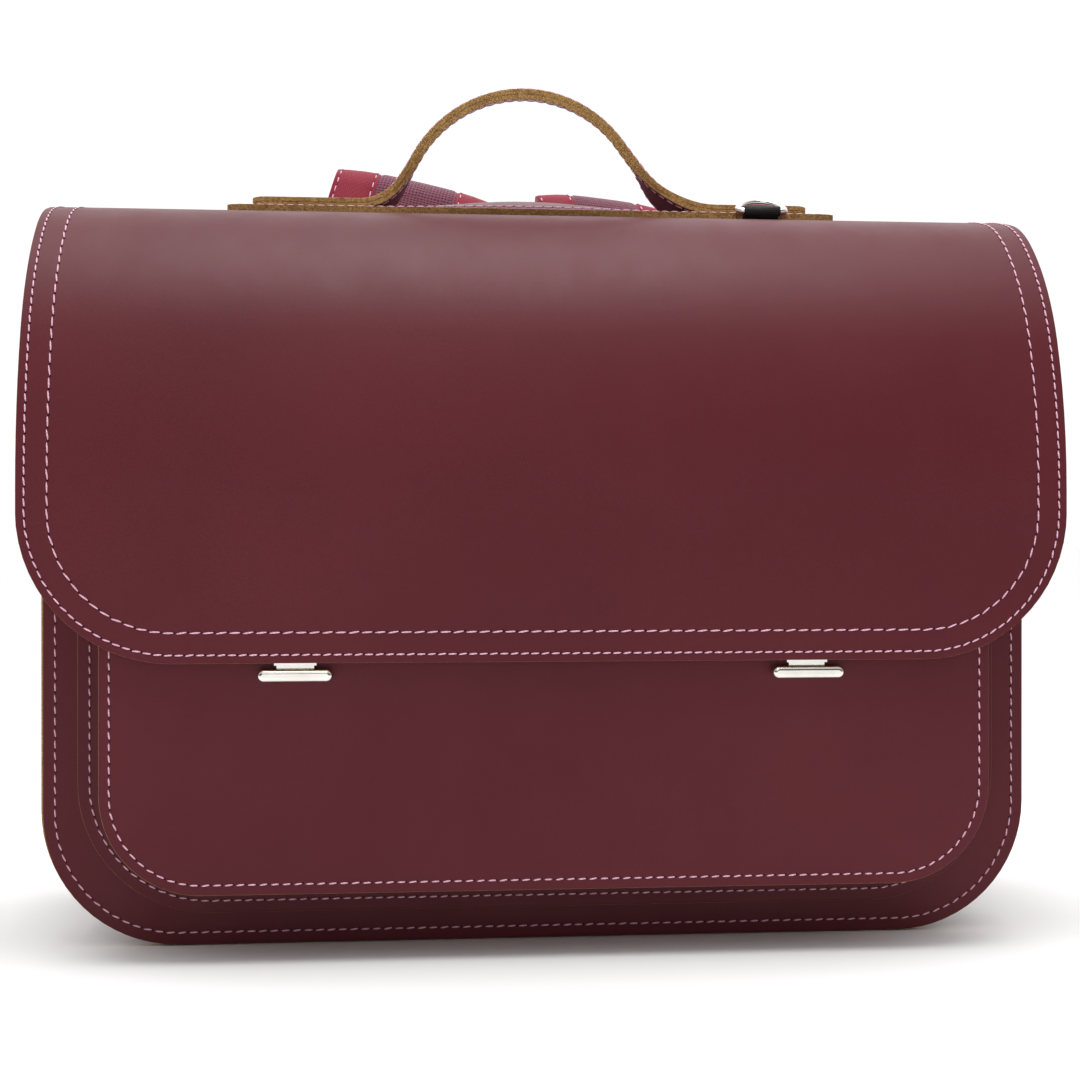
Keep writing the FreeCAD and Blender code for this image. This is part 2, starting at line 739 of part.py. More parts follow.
def shoulder_strap(side):
    """Padded strap with a thin upper end and rounded lower corners."""
    tongue = sheet(tongue_start, 90, strap_tongue_moves() + [(strap_end_grip, 0)],
                   strap_end_thick / 2, -strap_end_thick / 2,
                   side_plane(-strap_end_width / 2), Vector(strap_end_width, 0, 0))
    pad = sheet(pad_start, pad_heading, strap_pad_moves(pad_start, pad_heading),
                strap_thick / 2, -strap_thick / 2,
                side_plane(-strap_width / 2), Vector(strap_width, 0, 0))
    outline = tub(strap_width / 2, pad_end[1], 2 * back_height, strap_corner,
                  back_face, back_face + body_depth)
    return spread(pad.common(outline).fuse(tongue).removeSplitter(), side)


def strap_anchor_patch():
    """Leather patch on the back panel, sewn over the straps' unpadded ends."""
    end_x = strap_spacing / 2 + (strap_peak - anchor_top + strap_end_length) * tan(radians(strap_tilt))
    half = end_x + strap_end_width / 2 + anchor_side
    low = anchor_top - anchor_height - anchor_rim
    under = back_face + strap_end_thick + hole_play
    patch = box((-half, back_face, low), (half, under + anchor_thick, anchor_top))
    hollow = box((-half + anchor_rim, back_face - overshoot, low + anchor_rim),
                 (half - anchor_rim, under, anchor_top + overshoot))
    return patch.cut(hollow)


# ---- adjusters, webbing and tabs --------------------------------------------------------
foot_y = pad_end[0]
foot_to_tab = strap_foot - tab_lift - tab_length


def hang(shape, side):
    """Place a piece that is modelled in the strap's middle, straight down from the pad's end."""
    shape.translate(Vector(0, foot_y, strap_foot))
    return spread(shape, side)


def adjuster(side):
    """Three-bar slider that the webbing runs through."""
    inner = web_width / 2 + adjuster_play
    outer = inner + adjuster_side
    frame = None
    for index in range(3):
        bar = cylinder(adjuster_bar, (-outer, 0, -tag_drop - index * adjuster_gap), 2 * outer, X_AXIS)
        frame = bar if frame is None else frame.fuse(bar)
    for end in (-outer, inner):
        rail = box((end, -adjuster_bar, -tag_drop - 2 * adjuster_gap - adjuster_bar),
                   (end + adjuster_side, adjuster_bar, -tag_drop + adjuster_bar))
        frame = frame.fuse(rail)
    return hang(frame.removeSplitter(), side)


def strap_tag(side):
    """Short webbing loop from the pad's end round the adjuster's top bar."""
    wrap = adjuster_bar + wrap_play + web_sheet / 2
    moves = [(tag_drop, 0), (wrap, 180), (tag_drop, 0)]
    tag = sheet((-wrap, 0), -90, moves, web_sheet / 2, -web_sheet / 2,
                side_plane(-tag_width / 2), Vector(tag_width, 0, 0))
    return hang(tag, side)


def strap_webbing(side):
    """Webbing from the lower tab up, round the adjuster's middle bar, and down to a free end."""
    wrap = adjuster_bar + wrap_play + web_sheet / 2
    turn_z = -tag_drop - adjuster_gap
    shift = foot_y - wrap - (back_face + web_sheet / 2 + hole_play)
    swing = degrees(acos(1 - shift / (2 * web_bend)))
    bends = 2 * web_bend * sin(radians(swing))
    straight = foot_to_tab + turn_z - bends - hole_play
    moves = [(web_tail, 0), (wrap, 180), (straight, 0), (web_bend, -swing), (web_bend, swing),
             (tab_length - tab_rim, 0)]
    webbing = sheet((wrap, turn_z - web_tail), 90, moves, web_sheet / 2, -web_sheet / 2,
                    side_plane(-web_width / 2), Vector(web_width, 0, 0))
    return hang(webbing, side)


def lower_tab(side):
    """Leather tab near the bottom corner of the back panel, sewn over the webbing's end."""
    near = back_face - foot_y
    under = near + web_sheet + 2 * hole_play
    half = tab_width / 2
    tab = box((-half, near, -foot_to_tab - tab_length), (half, under + tab_thick, -foot_to_tab))
    hollow = box((-half + tab_rim, near - overshoot, -foot_to_tab - tab_length + tab_rim),
                 (half - tab_rim, under, -foot_to_tab + overshoot))
    return hang(tab.cut(hollow), side)


# ---- build -----------------------------------------------------------------------------
os.makedirs("parts", exist_ok=True)
save("front_panel", body_panel(panel_face, seam_front, front_top))
save("back_panel", body_panel(seam_back, back_face, back_height))
save("main_gusset", main_gusset())
save("pocket_front", pocket_front())
save("pocket_gusset", pocket_gusset())
save("flap_leather", flap_leather())
save("flap_border_strip", flap_border_strip())
save("flap_tail", flap_tail())
for name, side in (("left", -1), ("right", 1)):
    middle = side * lock_spacing / 2
    save("lock_case_" + name, lock_case(middle))
    save("lock_slide_" + name, lock_slide(middle))
    save("lock_springs_" + name, lock_springs(middle))
    save("lock_back_plate_" + name, lock_back_plate(middle))
    save("lock_tongue_" + name, lock_tongue(middle))
    save("shoulder_strap_" + name, shoulder_strap(side))
    save("strap_adjuster_" + name, adjuster(side))
    save("strap_tag_" + name, strap_tag(side))
    save("strap_webbing_" + name, strap_webbing(side))
    save("lower_tab_" + name, lower_tab(side))
save("lock_rivets", lock_rivets())
save("tongue_rivets", tongue_rivets())
save("handle_plate", handle_plate())
save("handle_outer_layer", handle_layer_solid(handle_layer, 0))
save("handle_inner_layer", handle_layer_solid(0, -handle_layer))
save("ring_loop", ring_loop())
save("d_ring", d_ring())
save("strap_anchor_patch", strap_anchor_patch())
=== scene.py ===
from math import acos, atan2, ceil, cos, degrees, pi, radians, sin, tan

import bmesh
import bpy
from mathutils import Matrix, Vector
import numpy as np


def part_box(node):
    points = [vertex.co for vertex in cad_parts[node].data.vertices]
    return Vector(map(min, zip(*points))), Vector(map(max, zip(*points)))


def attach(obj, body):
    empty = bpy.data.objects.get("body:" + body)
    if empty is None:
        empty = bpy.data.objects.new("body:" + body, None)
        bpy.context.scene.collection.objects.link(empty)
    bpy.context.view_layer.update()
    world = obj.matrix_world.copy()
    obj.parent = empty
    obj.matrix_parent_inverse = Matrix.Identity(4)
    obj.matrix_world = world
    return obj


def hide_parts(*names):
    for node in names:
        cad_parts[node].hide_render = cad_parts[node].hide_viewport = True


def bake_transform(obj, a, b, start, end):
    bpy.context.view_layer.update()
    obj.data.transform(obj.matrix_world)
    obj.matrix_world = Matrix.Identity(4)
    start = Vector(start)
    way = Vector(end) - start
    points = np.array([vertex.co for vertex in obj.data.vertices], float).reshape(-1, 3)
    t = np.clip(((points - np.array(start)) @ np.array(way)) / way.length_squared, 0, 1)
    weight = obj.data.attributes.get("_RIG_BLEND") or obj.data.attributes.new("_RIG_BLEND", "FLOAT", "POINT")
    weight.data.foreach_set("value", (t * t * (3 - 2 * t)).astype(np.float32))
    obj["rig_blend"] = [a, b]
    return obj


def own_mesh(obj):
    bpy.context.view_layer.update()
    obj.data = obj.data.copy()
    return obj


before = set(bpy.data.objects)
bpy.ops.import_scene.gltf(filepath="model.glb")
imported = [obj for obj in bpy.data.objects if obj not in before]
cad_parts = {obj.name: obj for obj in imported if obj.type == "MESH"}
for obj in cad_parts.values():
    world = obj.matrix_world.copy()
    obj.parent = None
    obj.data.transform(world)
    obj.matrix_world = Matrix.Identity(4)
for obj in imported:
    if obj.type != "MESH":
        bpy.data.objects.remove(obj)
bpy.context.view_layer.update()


# ---- Front and back panels ----
# Two stiff panels of 3 mm smooth-faced leather, burgundy through the surface and tan inside.
# They are cut out with a knife, so their edges are raw, and both are sewn to the gusset's
# flanges with one row of pink thread.
mm = 0.001
panel_thick = 3.0 * mm
panel_corner = 52.8 * mm
panel_seam = 4.8 * mm
panel_pitch = 4.5 * mm
burgundy = (0.106, 0.0130, 0.0200, 1)
burgundy_deep = (0.090, 0.0100, 0.0160, 1)
flesh_tan = (0.40, 0.235, 0.095, 1)
fibre_tan = (0.60, 0.36, 0.13, 1)
fibre_brown = (0.17, 0.085, 0.030, 1)
thread_pink = (0.86, 0.50, 0.62, 1)
# thread_shade is painted shade: the pink thread's colour in shadow, laid into the grooves of its twist.
thread_shade = (0.52, 0.22, 0.34, 1)
# Painted shade for the needle holes: near black, with a slightly lighter mottle.
needle_shade_dark = (0.012, 0.003, 0.004, 1)
needle_shade_mottle = (0.050, 0.012, 0.015, 1)


class Field:
    """A number or colour that varies over a surface; arithmetic on it adds Math nodes."""

    def __init__(self, finish, socket):
        self.finish = finish
        self.socket = socket

    def math(self, operation, one, other):
        return self.finish.node("ShaderNodeMath", {"operation": operation}, {0: one, 1: other})

    def __add__(self, other):
        return self.math("ADD", self, other)

    def __mul__(self, other):
        return self.math("MULTIPLY", self, other)

    def __rsub__(self, other):
        return self.math("SUBTRACT", other, self)

    __radd__ = __add__
    __rmul__ = __mul__


class Finish:
    """One material: its shader's constants, and nodes for what varies."""

    def __init__(self, name, **constants):
        self.material = bpy.data.materials.new(name)
        self.material.use_nodes = True
        self.tree = self.material.node_tree
        self.shader = self.tree.nodes["Principled BSDF"]
        for socket, value in constants.items():
            self.shader.inputs[socket.replace("_", " ")].default_value = value

    def node(self, kind, settings, inputs, out=0):
        made = self.tree.nodes.new(kind)
        for setting, value in settings.items():
            if setting == "stops":
                for stop, (place, colour) in zip(made.color_ramp.elements, value):
                    stop.position = place
                    stop.color = colour
            else:
                setattr(made, setting, value)
        for socket, value in inputs.items():
            self.feed(made.inputs[socket], value)
        return Field(self, made.outputs[out])

    def feed(self, socket, value):
        if isinstance(value, Field):
            self.tree.links.new(value.socket, socket)
        else:
            socket.default_value = value

    def place(self, scale=(1, 1, 1)):
        """Object coordinates, stretched."""
        spot = self.node("ShaderNodeTexCoord", {}, {}, out="Object")
        return self.node("ShaderNodeMapping", {}, {"Vector": spot, "Scale": scale})

    def cloth(self):
        """Coordinates across and along a strap or webbing, in metres."""
        spot = self.node("ShaderNodeUVMap", {"uv_map": "weave"}, {})
        return self.node("ShaderNodeMapping", {}, {"Vector": spot})

    def noise(self, where, scale, detail=3.0, rough=0.55):
        return self.node("ShaderNodeTexNoise", {},
                         {"Vector": where, "Scale": scale, "Detail": detail, "Roughness": rough})

    def cells(self, where, scale):
        return self.node("ShaderNodeTexVoronoi", {"feature": "DISTANCE_TO_EDGE"},
                         {"Vector": where, "Scale": scale})

    def bands(self, where, scale, direction, distortion=0.0):
        return self.node("ShaderNodeTexWave", {"bands_direction": direction},
                         {"Vector": where, "Scale": scale, "Distortion": distortion})

    def ramp(self, value, low, high):
        """Value taken from 0 at low to 1 at high."""
        return self.node("ShaderNodeMapRange", {},
                         {"Value": value, "From Min": low, "From Max": high})

    def blend(self, share, one, other):
        """Colour between two colours."""
        return self.node("ShaderNodeMix", {"data_type": "RGBA"}, {0: share, 6: one, 7: other},
                         out=2)

    def relief(self, height, depth, strength=1.0, under=None):
        inputs = {"Height": height, "Distance": depth, "Strength": strength}
        if under:
            inputs["Normal"] = under
        return self.node("ShaderNodeBump", {}, inputs)

    def set(self, **inputs):
        for socket, value in inputs.items():
            self.feed(self.shader.inputs[socket.replace("_", " ")], value)
        return self


def smooth_leather(name, tone, deep, gloss=0.20):
    """Corrected-grain hide: even colour, faint clouding, fine pores, soft semi-gloss."""
    hide = Finish(name, Specular_IOR_Level=gloss, Coat_Roughness=0.34)
    where = hide.place()
    cloud = hide.noise(where, 9.0, 4.0)
    pores = hide.cells(where, 1500.0)
    grain = hide.noise(where, 620.0, 4.0, 0.6)
    waves = hide.noise(where, 22.0, 2.0)
    rub = hide.noise(hide.place((1, 1, 0.35)), 60.0, 5.0, 0.65)
    tint = hide.blend(hide.ramp(cloud, 0.36, 0.66), deep, tone)
    tint = hide.blend(hide.ramp(grain, 0.72, 0.30) * 0.30, tint, deep)
    soft = hide.relief(waves, 0.9 * mm, 0.35)
    fine = hide.relief(hide.ramp(pores, 0.0, 0.12) * 0.6 + grain * 0.7, 0.10 * mm, 0.32, soft)
    return hide.set(Base_Color=tint, Roughness=hide.ramp(rub, 0.25, 0.8) * 0.12 + 0.40,
                    Coat_Weight=hide.ramp(cloud, 0.2, 0.8) * 0.03 + 0.01, Normal=fine)


def raw_edge(name):
    """Knife-cut edge: tan fibres in rough layers, with darker brown patches here and there."""
    cut = Finish(name, Specular_IOR_Level=0.2)
    where = cut.place()
    fibres = cut.noise(where, 1100.0, 6.0, 0.8)
    layers = cut.noise(cut.place((0.3, 1, 1)), 800.0, 4.0, 0.75)
    patches = cut.noise(where, 160.0, 3.0)
    tint = cut.blend(cut.ramp(fibres, 0.36, 0.60), fibre_brown, fibre_tan)
    tint = cut.blend(cut.ramp(layers, 0.52, 0.70) * 0.5, tint, flesh_tan)
    tint = cut.blend(cut.ramp(patches, 0.55, 0.72) * 0.45, tint, fibre_brown)
    rough = cut.relief(fibres + layers, 0.5 * mm, 1.0)
    return cut.set(Base_Color=tint, Roughness=cut.ramp(fibres, 0, 1) * 0.1 + 0.82, Normal=rough)


def flesh_side(name):
    """Reverse of the hide: short tan nap, rubbed darker in places."""
    nap = Finish(name, Specular_IOR_Level=0.15, Sheen_Weight=0.25, Sheen_Roughness=0.6)
    where = nap.place()
    fluff = nap.noise(where, 900.0, 6.0, 0.7)
    cloud = nap.noise(where, 14.0, 3.0)
    tint = nap.blend(nap.ramp(cloud, 0.3, 0.7), (0.30, 0.165, 0.075, 1), flesh_tan)
    tint = nap.blend(nap.ramp(fluff, 0.55, 0.8) * 0.4, tint, fibre_brown)
    return nap.set(Base_Color=tint, Roughness=nap.ramp(cloud, 0, 1) * 0.06 + 0.86,
                   Normal=nap.relief(fluff, 0.25 * mm, 0.7))


def sewing_thread(name):
    """Waxed polyester thread with its twist just showing; painted shade darkens the grooves between its
    strands.
    """
    twist = Finish(name, Specular_IOR_Level=0.35, Sheen_Weight=0.15)
    where = twist.place()
    strands = twist.bands(where, 420.0, "DIAGONAL", 2.0)
    cloud = twist.noise(where, 120.0)
    tint = twist.blend(twist.ramp(strands, 0.1, 0.8) * 0.5 + 0.5, thread_shade, thread_pink)
    return twist.set(Base_Color=tint, Roughness=twist.ramp(cloud, 0, 1) * 0.1 + 0.5,
                     Normal=twist.relief(strands, 0.08 * mm, 0.6))


def painted_needle_shade(name):
    """Painted shade of a needle hole: a flat dark spot, mottled a little lighter in places."""
    shade_spot = Finish(name, Specular_IOR_Level=0.10)
    fluff = shade_spot.noise(shade_spot.place(), 2600.0, 5.0, 0.7)
    tint = shade_spot.blend(shade_spot.ramp(fluff, 0.35, 0.7), needle_shade_dark, needle_shade_mottle)
    return shade_spot.set(Base_Color=tint, Roughness=shade_spot.ramp(fluff, 0, 1) * 0.15 + 0.8,
                    Normal=shade_spot.relief(fluff, 0.1 * mm, 0.7))


hide = smooth_leather("burgundy_hide", burgundy, burgundy_deep)
cut_edge = raw_edge("knife_cut_edge")
nap = flesh_side("flesh_side")
pink_thread = sewing_thread("pink_thread")
# The needle holes' material is painted shade, not a leather of the bag.
needle_hole_shade = painted_needle_shade("needle_hole_shade")
leather_faces = (hide, cut_edge, nap)


def make(name, bm, finishes, slot, body, *nodes):
    """Turn a bmesh into a piece that rides on a body and stands for CAD nodes."""
    mesh = bpy.data.meshes.new(name)
    bm.to_mesh(mesh)
    bm.free()
    for finish in finishes:
        mesh.materials.append(finish.material)
    mesh.shade_smooth()
    made = bpy.data.objects.new(name, mesh)
    bpy.context.collection.objects.link(made)
    if body:
        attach(made, body)
    if nodes:
        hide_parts(*nodes)
    return made


def turn_out(bm, way):
    """Point a sheet's faces one way, then make them agree."""
    bmesh.ops.remove_doubles(bm, verts=bm.verts, dist=0.01 * mm)
    bmesh.ops.recalc_face_normals(bm, faces=bm.faces)
    facing = sum(face.normal.dot(Vector(way)) * face.calc_area() for face in bm.faces)
    if facing < 0:
        bmesh.ops.reverse_faces(bm, faces=bm.faces)


def leather_sheet(name, bm, slot, body, nodes, thick, round_over=0.45 * mm, bare=False,
                  finishes=leather_faces):
    """Piece of leather: raw edge on its rim, flesh side behind, edges just rounded.

    On a bare edge the dye is scuffed off the rounding as well.
    """
    made = make(name, bm, finishes, slot, body, *nodes)
    wall = made.modifiers.new("wall", "SOLIDIFY")
    wall.thickness = thick
    wall.offset = -1
    wall.use_even_offset = True
    wall.material_offset = 2
    wall.material_offset_rim = 1
    rounding = made.modifiers.new("rounding", "BEVEL")
    rounding.width = round_over
    rounding.segments = 2
    rounding.limit_method = "ANGLE"
    rounding.angle_limit = radians(50)
    rounding.harden_normals = True
    rounding.material = 1 if bare else -1
    return made


def run_of(size, turn):
    """Length of one move of a path: a straight run (length, 0) or a bend (radius, degrees)."""
    return size * radians(abs(turn)) if turn else size


def path_length(moves):
    """Length of a whole path."""
    return sum(run_of(size, turn) for size, turn in moves)


def end_of(start, heading, moves):
    """Last point and heading of a path."""
    angle = radians(heading)
    here = Vector(start)
    for size, turn in moves:
        if turn == 0:
            here = here + size * Vector((cos(angle), sin(angle)))
            continue
        way = 1 if turn > 0 else -1
        centre = here + size * way * Vector((-sin(angle), cos(angle)))
        angle += radians(turn)
        here = centre + size * way * Vector((sin(angle), -cos(angle)))
    return here, degrees(angle)


def on_path(moves, start, heading, distance):
    """Point and heading at a distance along a path."""
    left = distance
    done = []
    for size, turn in moves:
        length = run_of(size, turn)
        if left <= length:
            if left > 0:
                done.append((size, turn * left / length) if turn else (left, 0))
            break
        done.append((size, turn))
        left -= length
    return end_of(start, heading, done)


def walk(start, heading, moves, pitch):
    """Places (point, angle) at even steps along a path, half a step in from its ends."""
    whole = path_length(moves)
    count = max(1, round(whole / pitch))
    places = []
    for index in range(count):
        spot, angle = on_path(moves, start, heading, (index + 0.5) * whole / count)
        places.append((spot, radians(angle)))
    return places


def bead(material):
    """Small round mesh that a stitch or a needle hole is stretched from."""
    bm = bmesh.new()
    bmesh.ops.create_uvsphere(bm, u_segments=7, v_segments=5, radius=1)
    for face in bm.faces:
        face.material_index = material
        face.smooth = True
    made = bpy.data.meshes.new("bead")
    bm.to_mesh(made)
    bm.free()
    return made


def sew(name, places, body, length, width=0.68 * mm, slant=6.0):
    """One row of stitches, with a flat dark bead of painted shade for the needle hole at the end of each.

    A place is a point, the way along the seam and the way out of the leather.
    """
    bm = bmesh.new()
    stitch = bead(0)
    hole = bead(1)
    for index, (point, along, out) in enumerate(places):
        across = out.cross(along).normalized()
        lean = radians(slant) * (1.0 + 0.6 * sin(index * 2.4))
        ahead = along * cos(lean) + across * sin(lean)
        beside = across * cos(lean) - along * sin(lean)
        # Each needle hole is a flat dark bead of painted shade laid just past the stitch's end.
        tail = point + ahead * (length / 2 + 0.15 * mm) - out * 0.05 * mm
        for shape, axes, spot in (
                (stitch, (beside * width / 2, out * width * 0.45, ahead * length / 2), point),
                (hole, (beside * width * 0.62, out * 0.12 * mm, ahead * 0.45 * mm), tail)):
            stretch = Matrix(axes).transposed().to_4x4()
            stretch.translation = spot + out * 0.08 * mm
            shape.transform(stretch)
            bm.from_mesh(shape)
            shape.transform(stretch.inverted())
    bpy.data.meshes.remove(stitch)
    bpy.data.meshes.remove(hole)
    return make(name, bm, (pink_thread, needle_hole_shade), "strap_cloth", body)


def front_row(places, y, way=-1):
    """Places of a row in an upright plane that faces front or back."""
    out = Vector((0, way, 0))
    return [(Vector((point.x, y, point.y)), Vector((cos(angle), 0, sin(angle))), out)
            for point, angle in places]


def tub_line(half, low, high, corner, pitch):
    """Even steps down one side, round the bottom and up the other."""
    upright = high - low - corner
    moves = [(upright, 0), (corner, 90), (2 * (half - corner), 0), (corner, 90), (upright, 0)]
    return walk((-half, high), -90, moves, pitch)


upright_plane = Matrix.Rotation(pi / 2, 4, "X")


def oblong(bm, centre, half_x, half_y, corner, segments, plane=Matrix(), rounded=bool):
    """Flat face with its chosen corners rounded; bool chooses them all."""
    shape = Matrix.Translation(centre) @ plane @ Matrix.Diagonal((half_x, half_y, 1, 1))
    made = bmesh.ops.create_grid(bm, x_segments=1, y_segments=1, size=1, matrix=shape)
    bmesh.ops.bevel(bm, geom=[vert for vert in made["verts"] if rounded(vert)], offset=corner,
                    segments=segments, profile=0.5, affect="VERTICES", material=-1)


def tub_face(bm, half, low, high, corner, y):
    """Upright face with a square top and two round bottom corners."""
    middle = (low + high) / 2
    oblong(bm, (0, y, middle), half, (high - low) / 2, corner, 16, upright_plane,
           lambda vert: vert.co.z < middle)


def cut(bm, point, normal, trim=False):
    """Cut every face along a plane; a trim removes what is beyond it."""
    bmesh.ops.bisect_plane(bm, geom=bm.faces[:] + bm.edges[:] + bm.verts[:],
                           plane_co=point, plane_no=normal, clear_outer=trim)


for panel, way in (("front_panel", -1), ("back_panel", 1)):
    low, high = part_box(panel)
    face_y = low.y if way < 0 else high.y
    bm = bmesh.new()
    tub_face(bm, high.x, low.z, high.z, panel_corner, face_y)
    turn_out(bm, (0, way, 0))
    leather_sheet(panel + "_leather", bm, "leather", "bag", [panel], panel_thick)
    row = tub_line(high.x - panel_seam, low.z + panel_seam, high.z - panel_seam,
                   panel_corner - panel_seam, panel_pitch)
    sew(panel + "_stitches", front_row(row, face_y, way), "bag", 3.3 * mm)

# ---- Gusset ----
# One long band that makes the two sides and the bottom. Both its edges are folded outward
# into flanges, tan side against the panels, and a sliver of each flange shows past them.
gusset_corner = 54.0 * mm
flange_width = 9.5 * mm
flange_thick = 2.4 * mm
fold_round = 2.6 * mm


def sweep(bm, moves, start, heading, plane, fineness=3.5):
    """Pull a section along a path in the side or front plane; bends turn in small steps."""
    if plane == "side":
        ahead = lambda a: Vector((0, cos(a), sin(a)))
        axis = Vector((1, 0, 0))
        here = Vector((0, start[0], start[1]))
    else:
        ahead = lambda a: Vector((cos(a), 0, sin(a)))
        axis = Vector((0, -1, 0))
        here = Vector((start[0], 0, start[1]))
    run = bm.verts.layers.float["run"]
    angle = radians(heading)
    gone = 0.0
    ring = bm.edges[:] + bm.verts[:]
    for size, turn in moves:
        way = 1 if turn > 0 else -1
        length = run_of(size, turn)
        steps = max(2, ceil(abs(turn) / fineness)) if turn else max(1, ceil(length / (9 * mm)))
        centre = here + size * way * ahead(angle + pi / 2)
        for _ in range(steps):
            hop = Vector() if turn else ahead(angle) * size / steps
            ring = bmesh.ops.spin(bm, geom=ring, cent=centre, axis=axis, dvec=hop,
                                  angle=radians(turn) / steps, steps=1)["geom_last"]
            gone += length / steps
            angle += radians(turn) / steps
            for item in ring:
                if isinstance(item, bmesh.types.BMVert):
                    item[run] = gone
        here = centre - size * way * ahead(angle + pi / 2) if turn else here + ahead(angle) * size
    return bm


def section(points, across, closed=False):
    """Line of points to pull along a path, each with its place across the strap or sheet."""
    bm = bmesh.new()
    layer = bm.verts.layers.float.new("across")
    bm.verts.layers.float.new("run")
    verts = [bm.verts.new(point) for point in points]
    for vert, place in zip(verts, across):
        vert[layer] = place
    for one, other in zip(verts, verts[1:] + (verts[:1] if closed else [])):
        bm.edges.new((one, other))
    return bm


def channel(web, points, top):
    """Section of a flanged band at its upper left end: (x out from the web, y) corners."""
    return section([(-web - out, y, top) for out, y in points], [out for out, y in points])


low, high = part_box("main_gusset")
front = low.y + flange_thick
back = high.y - flange_thick
round_x = fold_round * 0.3
outline = [(flange_width, front), (fold_round, front), (round_x, front + round_x),
           (0, front + fold_round)]
outline += [(-0.9 * mm * sin(pi * share), front + (back - front) * share)
            for share in (0.15, 0.3, 0.5, 0.7, 0.85)]
outline += [(out, front + back - y) for out, y in reversed(outline[:4])]
bm = channel(high.x - flange_width, outline, high.z)
upright = high.z - gusset_corner
band_path = [(upright, 0), (gusset_corner, 90), (2 * (high.x - gusset_corner), 0),
             (gusset_corner, 90), (upright, 0)]
sweep(bm, band_path, (-high.x, high.z), -90, "front", 5.0)
bmesh.ops.remove_doubles(bm, verts=bm.verts, dist=0.01 * mm)
bmesh.ops.recalc_face_normals(bm, faces=bm.faces)
if max(bm.faces, key=lambda face: abs(face.normal.x) + face.calc_center_median().x).normal.x < 0:
    bmesh.ops.reverse_faces(bm, faces=bm.faces)
leather_sheet("gusset_leather", bm, "lining_leather", "bag", ["main_gusset"], flange_thick,
              0.6 * mm, True)

# ---- Front pocket ----
# A box pocket on the front panel: a stiff front, and a gusset whose rear edge is turned out
# and sewn to the panel. The front is cut out behind each catch for the catch's case.
pocket_corner = 38.0 * mm
pocket_seam = 3.9 * mm
pocket_pitch = 4.3 * mm
pocket_thick = 2.5 * mm
pocket_flange = 13.5 * mm
web_inset = 1.0 * mm
case_clear = 0.1 * mm
case_half = 12.0 * mm
bar_drop = 2.8 * mm

low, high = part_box("pocket_front")
bm = bmesh.new()
tub_face(bm, high.x, low.z, high.z, pocket_corner, low.y)
for case in ("lock_case_left", "lock_case_right"):
    case_low, case_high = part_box(case)
    middle = (case_low.x + case_high.x) / 2
    half = case_half + case_clear
    sill = case_low.z + bar_drop - case_clear
    lintel = case_high.z + case_clear
    for point, normal in (((middle - half, 0, 0), (1, 0, 0)), ((middle + half, 0, 0), (1, 0, 0)),
                          ((0, 0, sill), (0, 0, 1)), ((0, 0, lintel), (0, 0, 1))):
        cut(bm, point, normal)
    hole = [face for face in bm.faces
            if abs(face.calc_center_median().x - middle) < half
            and sill < face.calc_center_median().z < lintel]
    bmesh.ops.delete(bm, geom=hole, context="FACES")
turn_out(bm, (0, -1, 0))
leather_sheet("pocket_front_leather", bm, "leather", "bag", ["pocket_front"], pocket_thick)
row = tub_line(high.x - pocket_seam, low.z + pocket_seam, high.z - pocket_seam,
               pocket_corner - pocket_seam, pocket_pitch)
sew("pocket_front_stitches", front_row(row, low.y), "bag", 3.1 * mm)

panel_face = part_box("front_panel")[0].y
band_low, band_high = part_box("pocket_gusset")
flange_y = panel_face - flange_thick
reach = pocket_flange + web_inset
outline = [(reach, flange_y), (fold_round, flange_y), (round_x, flange_y - round_x),
           (0, flange_y - fold_round), (0, (flange_y + band_low.y) / 2), (0, band_low.y)]
bm = channel(band_high.x - reach, outline, band_high.z)
round_out = pocket_corner + pocket_flange
upright = band_high.z - band_low.z - round_out
band_path = [(upright, 0), (round_out, 90), (2 * (band_high.x - round_out), 0),
             (round_out, 90), (upright, 0)]
sweep(bm, band_path, (-band_high.x, band_high.z), -90, "front", 5.0)
turn_out(bm, (0, -1, 0))
leather_sheet("pocket_gusset_leather", bm, "lining_leather", "bag", ["pocket_gusset"],
              flange_thick)
flange_seam = 8.8 * mm
row = tub_line(high.x + flange_seam, low.z - flange_seam, high.z - pocket_seam,
               pocket_corner + flange_seam, pocket_pitch)
sew("pocket_flange_stitches", front_row(row, flange_y), "bag", 3.1 * mm)

# ---- Flap ----
# One sheet of 2.8 mm leather from its lower edge over the crown, folded at the back and sewn
# down on the back panel. It bends at the fold when it is lifted.
flap_thick = 2.8 * mm
flap_corner = 57.0 * mm
flap_bends = ((191.0 * mm, 18.0), (97.5 * mm, 31.0), (54.0 * mm, 24.4))
outer_seam = 3.1 * mm
inner_seam = 11.4 * mm
outer_pitch = 3.9 * mm
inner_pitch = 4.9 * mm
low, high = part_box("flap_leather")
tail_low, tail_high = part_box("flap_tail")
fold_y = tail_high.y - flap_thick / 2
fold_z = tail_high.z + flap_thick / 2 + 0.3 * mm


crown_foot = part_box("back_panel")[1].z + 9.8 * mm
bend_rise = end_of((0, 0), 90, [(size, -turn) for size, turn in flap_bends])[0].y
flap_front = [(crown_foot - bend_rise - low.z, 0)] + [(size, -turn) for size, turn in flap_bends]
crown_start, crown_heading = end_of((low.y, low.z), 90, flap_front)
inward = Vector((sin(radians(crown_heading)), -cos(radians(crown_heading))))
chord = Vector((fold_y, fold_z)) - (crown_start + inward * flap_thick / 2)
half_turn = radians(crown_heading) - atan2(chord.y, chord.x)
crown_radius = chord.length / (2 * sin(half_turn)) + flap_thick / 2
crown_centre = crown_start + inward * crown_radius
flap_path = flap_front + [(crown_radius, -degrees(2 * half_turn))]
fold_heading = crown_heading - degrees(2 * half_turn)
tail_path = [(flap_thick * 0.52, -(90 + fold_heading)), (fold_z - tail_low.z, 0)]


